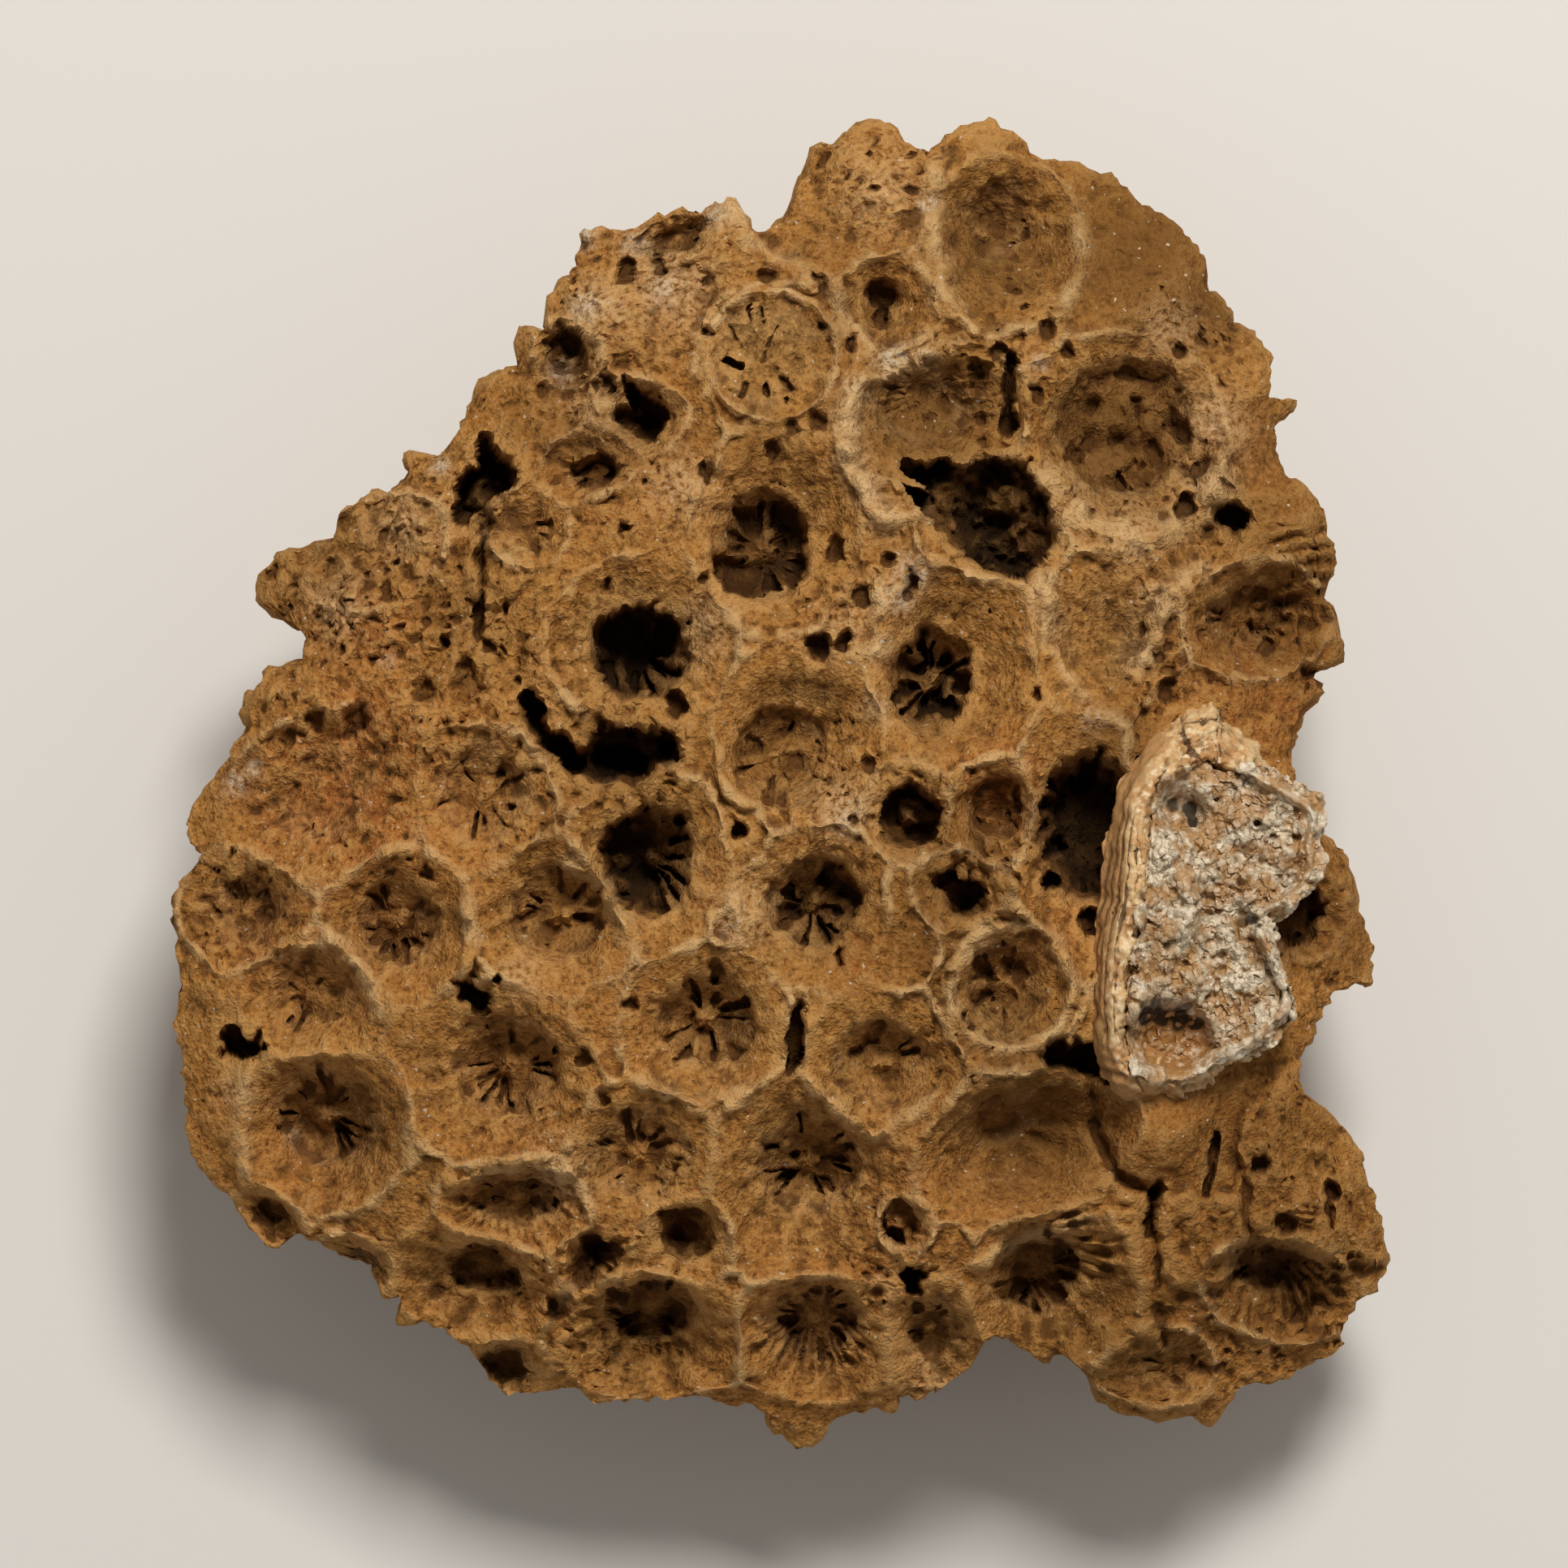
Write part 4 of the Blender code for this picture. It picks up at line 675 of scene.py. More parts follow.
def ground_texture(x, y, rough):
    """The weathered ground between the cups: how high it stands, and how much painted shade its pits get.
    """
    rotten = spots(x, y, ROTTEN)
    smooth = spots(x, y, SMOOTH)
    pits = rotten * smoothstep(
        0.30, 0.80, flat_noise(x, y, 1.6, 2.2) + 0.7 * flat_noise(x, y, 0.8, 7.7)
    )
    ragged_x = x + 0.40 * flat_noise(x, y, 0.8, 12.3)
    ragged_y = y + 0.35 * flat_noise(x, y, 1.0, 15.7)
    specks = pocks(ragged_x, ragged_y, 1.7, 21) + 0.6 * pocks(ragged_x, 0.7 * ragged_y, 0.9, 22)
    specks *= 1 - smooth
    specks *= smoothstep(-0.15, 0.55, flat_noise(x, y, 5.5, 5.1) + 0.6 * rotten - 0.2)
    granules = pocks(ragged_x, ragged_y, 1.2, 23) + 0.8 * pocks(ragged_y, ragged_x, 0.8, 24)
    granules += 0.6 * pocks(ragged_x, -ragged_y, 0.55, 25)
    lumpy = flat_noise(x, y, 1.9, 4.1) + 0.5 * flat_noise(x, y, 0.95, 6.4)
    steps = 3.0 * flat_noise(ragged_x, ragged_y, 4.6, 2.9) + 0.8 * rough
    ledges = np.floor(steps) + smoothstep(0.30, 0.62, steps % 1) - steps
    height = -0.9 * pits - 0.6 * specks
    height += 0.30 * granules * (1 - 0.8 * smooth) * (0.45 + 0.75 * rotten)
    height += 0.22 * lumpy * (1 - 0.7 * smooth) * (0.6 + 0.8 * rotten)
    height += (0.15 + 0.40 * rotten) * (1 - smooth) * ledges
    height += (0.45 + 0.6 * rotten) * flat_noise(x, y, 4.2, 8.8)
    return height, np.maximum(0.35 * np.minimum(specks, 1), 0.4 * pits)


def crown_relief(x, y):
    """The crown at each place: its height, how much painted shade it gets in a hole, and how near to a
    wall's crest.

    Also how near it is to a septum's top, and how far it is down the shaded part of a bowl.
    """
    warp_x = 0.38 * flat_noise(x, y, 3.7, 3.3) + 0.16 * flat_noise(x, y, 1.1, 9.1)
    warp_y = 0.38 * flat_noise(x, y, 3.7, 6.7) + 0.16 * flat_noise(x, y, 1.1, 1.9)
    x, y = x + warp_x, y + warp_y
    rough = flat_noise(x, y, 1.3, 4.5)
    fine = flat_noise(x, y, 0.6, 6.1)
    coarse = flat_noise(x, y, 2.1, 4.4)
    nearest, second = np.full(len(x), 9.0), np.full(len(x), 9.0)
    size = np.ones(len(x))
    depth, hole, blade_tops, fluted = np.zeros((4, len(x)))
    for number, cup in enumerate(CUPS):
        reach = 1.6 * cup.radius * max(1, cup.squash)
        near = np.flatnonzero((np.abs(x - cup.x) < reach) & (np.abs(y - cup.y) < reach))
        out, down, *looks = calice(cup, number, x[near], y[near], rough[near], fine[near])
        closer = out < nearest[near]
        second[near] = np.where(closer, nearest[near], np.minimum(second[near], out))
        size[near] = np.where(closer, cup.radius, size[near])
        nearest[near] = np.minimum(nearest[near], out)
        deeper = down > depth[near]
        for kept, found in zip((depth, hole, blade_tops, fluted), (down, *looks)):
            kept[near] = np.where(deeper, found, kept[near])
    bowl_shade = (1 - smoothstep(0.45, 1.0, nearest)) * (1 - hole)

    # Neighbouring cups share one wall, and a cup that stands alone has its own
    between_cups = (nearest + second) / 2
    apart = smoothstep(1.14, 1.30, between_cups)
    crest_place = np.where(between_cups > 1, between_cups * (1 - apart) + apart, between_cups)
    off_crest = np.abs(nearest - crest_place) * size + 0.3 * flat_noise(x, y, 0.7, 2.7)
    whole = smoothstep(-0.35, 0.35, flat_noise(x, y, 6.5, 1.1))
    crest = bump_along(off_crest, WALL_HALF_WIDTH) * (0.30 + 0.70 * whole)
    height = dome(x, y) - depth + STRIATION_HEIGHT * fluted
    height += WALL_RISE * crest * (0.75 + 0.7 * rough)

    for swell_x, swell_y, radius, rise in SWELLS:
        height += rise * bump_along(np.hypot(x - swell_x, y - swell_y), radius)
    for ridge in RIDGES:
        top = bump_along(line_distance(x, y, ridge.points), ridge.half_width)
        height += ridge.size * top * (0.85 + 0.5 * rough)
        crest = np.maximum(crest, top * (ridge.size > 0))
    for cavity in CAVITIES:
        inside = inside_edge(x, y, cavity.edge, (cavity.x, cavity.y))
        open_part = smoothstep(-0.3, 0.8, inside + 0.8 * coarse + 0.7 * rough + 0.5 * fine)
        rubble = np.clip(0.5 + 0.6 * flat_noise(x, y, 2.3, 3.9) + 0.35 * rough + 0.25 * fine, 0, 1.2)
        broken_in = open_part * (1.1 - 0.6 * rubble)
        height -= cavity.depth * broken_in
        hole = np.maximum(hole, broken_in)
    for ring_x, ring_y, radius, half_width, rise in RINGS:
        off_ring = np.abs(np.hypot(x - ring_x, y - ring_y) - radius) + 0.25 * rough
        ring = bump_along(off_ring, half_width) * (0.75 + 0.5 * whole)
        height += rise * ring
        crest = np.maximum(crest, ring)
    for fan_x, fan_y, near_end, far_end, middle, half_spread, count, rise in FANS:
        fan_out = np.hypot(x - fan_x, y - fan_y)
        fan_turn = np.arctan2(y - fan_y, x - fan_x)
        off_middle = np.abs((fan_turn - np.radians(middle) + np.pi) % (2 * np.pi) - np.pi)
        within = smoothstep(near_end - 1, near_end + 1, fan_out)
        within *= 1 - smoothstep(far_end - 3, far_end, fan_out)
        within *= 1 - smoothstep(0.7, 1.0, off_middle / np.radians(half_spread))
        within *= smoothstep(-0.35, 0.25, flat_noise(x, y, 2.7, fan_x)) * (1 - hole)
        ribs = np.cos(count * fan_turn + 3.0 * flat_noise(x, y, 4.0, 3.1) + 0.8 * rough)
        height += rise * within * (ribs - 0.4)
    for rise, edge in SLABS:
        inside = inside_edge(x, y, edge, np.mean(edge, axis=0))
        height += rise * smoothstep(-0.4, 0.5, inside + 0.4 * rough)
    for crack in CRACKS:
        fray = min(crack.half_width, 0.9) * (0.45 * coarse + 0.5 * rough + 0.35 * fine)
        open_part = 1 - smoothstep(
            0.40, 1.15, (line_distance(x, y, crack.points) + fray) / crack.half_width
        )
        height -= crack.size * open_part
        hole = np.maximum(hole, open_part * min(1, crack.size / 6))
    for hole_x, hole_y, radius, deep in HOLES:
        near_hole = np.hypot(x - hole_x, 0.75 * (y - hole_y)) + 0.5 * rough + 0.25 * fine
        open_part = 1 - smoothstep(0.4, 1.2, near_hole / radius)
        height -= deep * open_part
        hole = np.maximum(hole, open_part * min(0.8, deep / 4))

    texture, pitted = ground_texture(x, y, rough)
    out_of_seat = 1 - smoothstep(0, SEAT_WALL_WIDTH, inside_edge(x, y, HORN_EDGE, HORN_MIDDLE))
    seat = SEAT_FLOOR + SEAT_WALL_HEIGHT * out_of_seat
    return np.minimum(height + texture, seat), np.maximum(hole, pitted), crest, blade_tops, bowl_shade


def flank_bulge(angle, down):
    """How far the flank stands out: a row of corallite tubes with growth rings and furrows on them."""
    random = np.random.default_rng(FLANK_SEED)
    joints = np.arange(FLANK_TUBES) + random.uniform(-0.28, 0.28, FLANK_TUBES)
    joints = joints * 2 * np.pi / FLANK_TUBES
    joints = np.append(joints, joints[0] + 2 * np.pi)
    leaning = angle + 0.05 * np.sin(3 * angle) * down
    turn = (leaning - joints[0]) % (2 * np.pi) + joints[0]
    tube = np.clip(np.searchsorted(joints, turn, side="right") - 1, 0, FLANK_TUBES - 1)
    share = (turn - joints[tube]) / (joints[tube + 1] - joints[tube])
    bulge = TUBE_BULGE * (np.sqrt(np.clip(4 * share * (1 - share), 0, 1)) - 0.6)
    climb = 2 * np.pi * CROWN_HEIGHT * (1 - down)
    bulge += GROWTH_RING_DEPTH * np.sin(climb / GROWTH_RING_PITCH + 2.1 * tube)
    bulge += WRINKLE_DEPTH * np.sin(climb / WRINKLE_PITCH + 3.0 * tube + 2.5 * np.sin(4 * share))
    bulge += FURROW_DEPTH * np.cos(2 * np.pi * FLANK_FURROWS * share)
    return bulge * smoothstep(0.0, 0.16, down)


def spread_over_stone(sphere, shares):
    """Where the points of a unit sphere go on a stone with a crown, a flank and a base.

    Gives each point's angle, its way out from the middle of the crown or base, and its way down the
    flank, both from 0 to 1. The shares are the parts of the points for the crown and the flank.
    """
    crown, flank = shares
    sunk = (1 - np.clip(sphere[:, 2], -1, 1)) / 2
    on_base = np.sqrt(np.clip((1 - sunk) / (1 - crown - flank), 0, 1))
    out = np.where(sunk < crown, np.sqrt(sunk / crown), np.where(sunk < crown + flank, 1, on_base))
    down = np.clip((sunk - crown) / flank, 0, 1)
    return np.arctan2(sphere[:, 1], sphere[:, 0]), out, down


def read_points(mesh):
    """A mesh's points in millimetres."""
    points = np.empty(3 * len(mesh.vertices))
    mesh.vertices.foreach_get("co", points)
    return points.reshape(-1, 3) / METRES_PER_MM


def write_points(mesh, points):
    mesh.vertices.foreach_set("co", (points * METRES_PER_MM).ravel())
    mesh.update()


def point_normals(mesh):
    normals = np.empty(3 * len(mesh.vertices))
    mesh.vertex_normals.foreach_get("vector", normals)
    return normals.reshape(-1, 3)


def add_attribute(mesh, name, values):
    """Keeps one number for each point, for the material to read."""
    layer = mesh.attributes.new(name, "FLOAT", "POINT")
    layer.data.foreach_set("value", np.asarray(values, dtype=np.float32))


def hollowness(mesh, points, normals, rounds):
    """How far each point lies below, or above, the mean of its surroundings, in millimetres."""
    edges = np.empty(2 * len(mesh.edges), dtype=np.int64)
    mesh.edges.foreach_get("vertices", edges)
    start, end = edges.reshape(-1, 2).T
    count = len(points)
    shares = np.bincount(start, minlength=count) + np.bincount(end, minlength=count)
    smooth = points.copy()
    for _ in range(rounds):
        for axis in range(3):
            line = smooth[:, axis]
            gathered = np.bincount(start, line[end], count) + np.bincount(end, line[start], count)
            smooth[:, axis] = gathered / shares
    return np.sum((smooth - points) * normals, axis=1)


def add_sphere(name, subdivisions):
    """A sphere of small triangles, to be shaped into a stone, and the direction of each of its points."""
    bpy.ops.object.select_all(action="DESELECT")
    bpy.ops.mesh.primitive_ico_sphere_add(subdivisions=subdivisions, radius=1.0, location=(0, 0, 0))
    stone = bpy.context.object
    stone.name = name
    stone.data.name = name
    sphere = read_points(stone.data) * METRES_PER_MM
    return stone, sphere / np.linalg.norm(sphere, axis=1, keepdims=True)


def thin_out(stone, triangles):
    """Keeps only the triangles that the shape needs."""
    thin = stone.modifiers.new("fewer_triangles", "DECIMATE")
    thin.ratio = triangles / len(stone.data.polygons)
    thin.use_collapse_triangulate = True
    bpy.ops.object.modifier_apply(modifier=thin.name)


def shift_to_frame(stone):
    """Moves a finished stone by the small step that sets it on its solid, in its mesh."""
    points = read_points(stone.data)
    points[:, 0] += SHIFT_TO_FRAME[0]
    points[:, 1] += SHIFT_TO_FRAME[1]
    write_points(stone.data, points)


colony, sphere = add_sphere("colony_of_corallites", 9)
angle, out, down = spread_over_stone(sphere, COLONY_SHARES)
on_base = sphere[:, 2] < 1 - 2 * sum(COLONY_SHARES)
on_crown = down <= 0
grid_x, grid_y = fill_edge(CROWN_EDGE)
x, y = read_grid(grid_x, out, angle), read_grid(grid_y, out, angle)
rim_x, rim_y = read_grid(grid_x, 1, angle), read_grid(grid_y, 1, angle)
round_x = read_grid(grid_x, ROUND_ROW, angle) / ROUND_ROW
round_y = read_grid(grid_y, ROUND_ROW, angle) / ROUND_ROW
foot_x, foot_y = FOOT_SHARE * round_x, FOOT_SHARE * round_y
away_x, away_y = round_x / np.hypot(round_x, round_y), round_y / np.hypot(round_x, round_y)
jagged = 0.32 * flat_noise(rim_x, rim_y, 1.7, 3.0) + 0.25 * flat_noise(rim_x, rim_y, 0.7, 8.0)
aside = np.where(on_base, 0, jagged * out**12 * (1 - down) + flank_bulge(angle, down))
inward = np.where(on_crown, 0, down**1.25)
x = np.where(on_base, foot_x * out, x + (foot_x - x) * inward + away_x * aside)
y = np.where(on_base, foot_y * out, y + (foot_y - y) * inward + away_y * aside)
top, hole, crest, blade_tops, bowl_shade = crown_relief(
    np.where(on_crown, x, rim_x), np.where(on_crown, y, rim_y)
)
top -= RIM_ROUNDING * np.where(on_crown, out, 1) ** 14
z = np.where(on_base, -SAW_ALLOWANCE, top * (1 - down) - SAW_ALLOWANCE * down)
points = np.stack([x, y, z], axis=1)
write_points(colony.data, points)

grain = 0.20 * mineral_noise(points, 1.1, 2.0) + 0.18 * mineral_noise(points, 0.55, 5.0)
lumps = 0.30 * mineral_noise(points, 2.6, 7.0) * np.where(on_crown, 0.6, 1.4)
lumps += 0.9 * mineral_noise(points, 8.0, 4.0) * np.where(on_crown, 0, smoothstep(0.0, 0.2, down))
crumbled = smoothstep(0.35, 0.80, mineral_noise(points, 2.3, 9.0)) * ~on_crown
points += point_normals(colony.data) * (grain + lumps - CRUMBLED_DEPTH * crumbled)[:, None]
write_points(colony.data, points)

fade = np.clip(1 - 3 * down, 0, 1)
# The hole attribute carries the painted shade of holes, pits and septal gaps
add_attribute(colony.data, "hole", hole * fade)
# The bowl attribute carries painted shade for the inside of each bowl
add_attribute(colony.data, "bowl", bowl_shade * fade)
add_attribute(colony.data, "crest", np.maximum(crest, 0.35 * blade_tops) * fade)
rounds = 30
hollow = hollowness(colony.data, points, point_normals(colony.data), rounds)
add_attribute(colony.data, "hollow", hollow)
for name, places in (("rust", RUST), ("dull_and_painted_shade", DULL_AND_PAINTED_SHADE), ("pale", PALE), ("grey_crust", GREY_CRUST)):
    add_attribute(colony.data, name, spots(x, y, places) * fade)
thin_out(colony, COLONY_TRIANGLES)

# The saw cut at the base
bpy.ops.object.mode_set(mode="EDIT")
bpy.ops.mesh.select_all(action="SELECT")
bpy.ops.mesh.bisect(
    plane_co=(0, 0, 0), plane_no=(0, 0, -1), use_fill=True, clear_outer=True, threshold=1e-7
)
bpy.ops.object.mode_set(mode="OBJECT")
shift_to_frame(colony)
bpy.ops.object.shade_smooth()
bpy.ops.object.shade_smooth_by_angle(angle=np.radians(COLONY_SHARP_ANGLE))


class Finish:
    """A material whose patterns read object coordinates, and whose colours are laid one over another."""

    def __init__(self, name, colour, roughness, specular):
        self.material = bpy.data.materials.new(name)
        self.material.use_nodes = True
        self.tree = self.material.node_tree
        self.shader = self.tree.nodes["Principled BSDF"].inputs
        self.shader["Roughness"].default_value = roughness
        self.shader["Specular IOR Level"].default_value = specular
        self.colour = colour

    def feed(self, socket, value):
        """Gives a socket a number or a colour of its own, or the output of another node."""
        if isinstance(value, tuple):
            socket.default_value = (*value, 1)
        elif isinstance(value, (int, float)):
            socket.default_value = value
        else:
            self.tree.links.new(value, socket)

    def attribute(self, name):
        """A number that was kept for each point of the mesh."""
        node = self.tree.nodes.new("ShaderNodeAttribute")
        node.attribute_name = name
        return node.outputs["Fac"]

    def noise(self, size_mm, detail):
        """A noise with features of about the given size."""
        place = self.tree.nodes.new("ShaderNodeTexCoord")
        texture = self.tree.nodes.new("ShaderNodeTexNoise")
        texture.inputs["Detail"].default_value = detail
        texture.inputs["Scale"].default_value = 1 / (size_mm * METRES_PER_MM)
        self.feed(texture.inputs["Vector"], place.outputs["Object"])
        return texture.outputs["Fac"]

    def between(self, value, low, high, bottom=0.0, top=1.0):
        """Turns a range of values into another, with its ends held."""
        node = self.tree.nodes.new("ShaderNodeMapRange")
        self.feed(node.inputs["Value"], value)
        for name, number in (("From Min", low), ("From Max", high), ("To Min", bottom), ("To Max", top)):
            node.inputs[name].default_value = number
        return node.outputs["Result"]

    def combine(self, way, first, second):
        """The sum or the product of two values."""
        node = self.tree.nodes.new("ShaderNodeMath")
        node.operation = way
        self.feed(node.inputs[0], first)
        self.feed(node.inputs[1], second)
        return node.outputs["Value"]

    def times(self, first, second):
        return self.combine("MULTIPLY", first, second)

    def lay(self, colour, amount):
        """Lays a colour over those below, by an amount that varies over the surface."""
        node = self.tree.nodes.new("ShaderNodeMix")
        node.data_type = "RGBA"
        self.feed(node.inputs["Factor"], amount)
        self.feed(node.inputs["A"], self.colour)
        self.feed(node.inputs["B"], colour)
        self.colour = node.outputs["Result"]

    def put_on(self, piece, bumps):
        """Ends the material with its colour and raised grain, in millimetres, and gives it to a piece."""
        self.feed(self.shader["Base Color"], self.colour)
        normal = None
        for pattern, height in bumps:
            node = self.tree.nodes.new("ShaderNodeBump")
            node.inputs["Distance"].default_value = height * METRES_PER_MM
            self.feed(node.inputs["Height"], pattern)
            if normal is not None:
                self.feed(node.inputs["Normal"], normal)
            normal = node.outputs["Normal"]
        self.feed(self.shader["Normal"], normal)
        piece.data.materials.clear()
        piece.data.materials.append(self.material)


TAN = (0.39, 0.176, 0.040)
OCHRE = (0.31, 0.128, 0.026)
UMBER = (0.078, 0.031, 0.008)
PALE_TAN = (0.50, 0.268, 0.086)
CREAM = (0.60, 0.40, 0.19)
PALE_CREAM = (0.66, 0.47, 0.26)
RUSTY = (0.40, 0.125, 0.026)
OLIVE_GREY = (0.17, 0.100, 0.032)
GREY_WHITE = (0.56, 0.48, 0.36)
DULL_BROWN_AND_PAINTED_SHADE = (0.14, 0.062, 0.014)
# Near black, painted down holes and cavities as their shade
PAINTED_HOLE_SHADE = (0.012, 0.006, 0.002)

stone = Finish("weathered_coral_limestone", TAN, roughness=0.9, specular=0.1)
patches = stone.noise(9.0, 4.0)
blotches = stone.noise(2.6, 5.0)
grains = stone.noise(0.55, 4.0)
flecks = stone.noise(0.34, 2.0)
dust = stone.noise(0.24, 2.0)
painted_glints = stone.noise(0.45, 0.0)
hollow = stone.attribute("hollow")
hole = stone.attribute("hole")
# Broad patches, painted shade in the bowls, and the rust
stone.lay(OCHRE, stone.between(patches, 0.38, 0.62))
stone.lay(OLIVE_GREY, stone.between(blotches, 0.52, 0.72, 0.0, 0.5))
stone.lay(OLIVE_GREY, stone.times(stone.attribute("bowl"), stone.between(patches, 0.35, 0.62, 0.1, 0.7)))
stone.lay(RUSTY, stone.times(stone.attribute("rust"), stone.between(blotches, 0.30, 0.56)))
# Pale and dark grains, and paler raised points
stone.lay(PALE_TAN, stone.between(grains, 0.50, 0.74, 0.0, 0.7))
stone.lay(UMBER, stone.between(grains, 0.46, 0.30, 0.0, 0.8))
stone.lay(PALE_TAN, stone.between(flecks, 0.58, 0.70, 0.0, 0.7))
stone.lay(UMBER, stone.between(flecks, 0.40, 0.30, 0.0, 0.5))
stone.lay(PALE_TAN, stone.between(hollow, -0.04, -0.26, 0.0, 0.6))
# Dull brown spots that are partly painted shade, pale, worn and crusted places, and painted glints
stone.lay(DULL_BROWN_AND_PAINTED_SHADE, stone.times(stone.attribute("dull_and_painted_shade"), 0.8))
pale_part = stone.times(stone.attribute("pale"), stone.between(grains, 0.36, 0.56))
stone.lay(PALE_CREAM, stone.times(pale_part, 0.8))
worn_part = stone.times(stone.attribute("crest"), stone.between(blotches, 0.36, 0.58))
stone.lay(CREAM, stone.times(worn_part, 0.65))
stone.lay(GREY_WHITE, stone.times(stone.attribute("grey_crust"), stone.between(grains, 0.36, 0.60)))
# Painted glints: sparse grey-white specks standing in for crystal highlights
stone.lay(GREY_WHITE, stone.between(painted_glints, 0.80, 0.84, 0.0, 0.8))
# Painted shade: darker in the hollows, and dark to near black down the holes, pits and septal gaps
stone.lay(UMBER, stone.between(hollow, 0.05, 0.34, 0.0, 0.8))
stone.lay(UMBER, stone.between(hole, 0.08, 0.5, 0.0, 0.65))
stone.lay(PAINTED_HOLE_SHADE, stone.between(hole, 0.55, 1.0, 0.0, 0.85))
stone.put_on(colony, bumps=((grains, 0.30), (flecks, 0.20), (dust, 0.10)))
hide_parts("coral_colony")
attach(colony, "root")

# The horn coral
# A broken piece of a solitary coral, lodged in the crown. Its outer wall is cream calcite with tan growth
# lines that run along it, and stands highest on the left, where it is whole.
HORN_SHARES = (0.66, 0.28)
HORN_TRIANGLES = 90000
HORN_BASE = 29.0
HORN_TAPER = 0.22
HORN_EDGE_HEIGHT = (38.0, 42.0)
HORN_RIM_HEIGHT = (42.6, 46.6)
HORN_WALL_WIDTH = (1.2, 3.9)
HORN_CAP_WIDTH = 3.2
HORN_RECESS = 1.9
HORN_FALL_TO_RIGHT = 0.10

# Pockets in the broken face: x, y, radius along x, radius along y, depth
HORN_POCKETS = [(34.7, -2.2, 2.4, 2, 2.6), (33.8, -22.3, 3.7, 3.1, 3.8)]

# Growth lines on the wall: how far in from the edge, far end, near end, half width, depth
GROWTH_LINES = [
    (0.55, -3, -24, 0.12, 0.12), (1.05, 2.4, -22, 0.1, 0.16), (1.62, 0.2, -25, 0.13, 0.26),
    (2.3, -1, -17, 0.12, 0.28), (3.1, -2.6, -10.5, 0.12, 0.26), (2.75, -14, -24, 0.1, 0.14),
]
HORN_CRACKS = [
    Line([(34.9, 6.2), (35.1, 4.6), (35.6, 3.2), (37.2, 1.8), (38.9, 0.6)], 0.12, 0.35),
    Line([(35.2, 5.4), (37, 5.9), (38.6, 5.6)], 0.1, 0.3),
    Line([(38.9, 0.6), (39.9, 2.2)], 0.12, 0.5),
    Line([(30, -24), (31.3, -26.6)], 0.12, 0.4),
]

# Orange stains on the broken cap and foot: x, y, radius, strength
HORN_STAINS = [
    (36, 3.4, 1.7, 1), (33.2, 2.6, 1.2, 0.8), (38.8, 3.6, 1.3, 0.7), (34.6, -26.2, 1.6, 0.6),
    (30.2, -22.5, 1, 0.6), (31.4, -1, 1, 0.5), (28.6, -17, 1.2, 0.5), (29.8, -8, 1, 0.5),
]

# The fine wrinkles round its near end
WRINKLED_FOOT = [(29.6, -25.4, 2.4, 1.0)]
FOOT_WRINKLE_PITCH = 0.95
FOOT_WRINKLE_DEPTH = 0.16


def facets(x, y, size, seed):
    """Flat-faced crystals side by side, each with its own height and tilt. Heights are about -1 to 1."""
    _, off_x, off_y, chance = cells(x, y, size, seed)
    return 0.55 * chance[:, 0] + 0.9 * (chance[:, 1] * off_x + chance[:, 2] * off_y)


def mix(ends, share):
    """The value a share of the way from the first of two ends to the second."""
    return ends[0] + (ends[1] - ends[0]) * share


def horn_wall(x, y):
    """How far in from the horn coral's edge each place is, how far to the left, and the wall's width."""
    dx, dy = x - HORN_MIDDLE[0], y - HORN_MIDDLE[1]
    angle = np.arctan2(dy, dx)
    inside = smooth_edge_radius(HORN_EDGE, HORN_MIDDLE, angle, 0.06) - np.hypot(dx, dy)
    left = smoothstep(-0.35, 0.75, -np.cos(angle))
    return inside, left, mix(HORN_WALL_WIDTH, left) + HORN_CAP_WIDTH * smoothstep(-0.5, 3.0, y)


def out_of_pockets(x, y):
    """How far each place is from each pocket's middle, as a share of its radius, with its depth."""
    for pocket_x, pocket_y, radius_x, radius_y, depth in HORN_POCKETS:
        yield np.hypot((x - pocket_x) / radius_x, (y - pocket_y) / radius_y), depth


def horn_face(x, y):
    """The top of the horn coral with no fine detail: its wall, and the broken face that the crust fills."""
    inside, left, width = horn_wall(x, y)
    edge, rim = mix(HORN_EDGE_HEIGHT, left), mix(HORN_RIM_HEIGHT, left)
    height = edge + (rim - edge) * np.sin(0.5 * np.pi * np.clip(inside / np.minimum(width, 2.8), 0, 1))
    height -= HORN_RECESS * smoothstep(width - 0.2, width + 1.2, inside)
    for out, depth in out_of_pockets(x, y):
        height -= depth * np.exp(-(out**4))
    to_right = np.clip(x - HORN_MIDDLE[0] + 4, 0, None)
    return height - HORN_FALL_TO_RIGHT * to_right * smoothstep(0, 3, inside)


def growth_lines(x, y):
    """How deep each place is in one of the wall's growth lines or cracks, and the same from 0 to 1."""
    inside, left, _ = horn_wall(x, y)
    sway = 0.30 * flat_noise(x, y, 6.0, 5.5) + 0.06 * flat_noise(x, y, 1.1, 3.5)
    lines = []
    for place, far, near, half_width, deep in GROWTH_LINES:
        along = smoothstep(near, near + 4, y) * (1 - smoothstep(far - 3, far, y))
        lines.append((bump_along(inside - place + sway, half_width) * along * left, deep))
    for crack in HORN_CRACKS:
        off_crack = line_distance(x + 2 * sway, y, crack.points)
        lines.append((bump_along(off_crack, crack.half_width), crack.size))
    depth = np.max([line * deep for line, deep in lines], axis=0)
    return depth, np.max([line for line, _ in lines], axis=0)


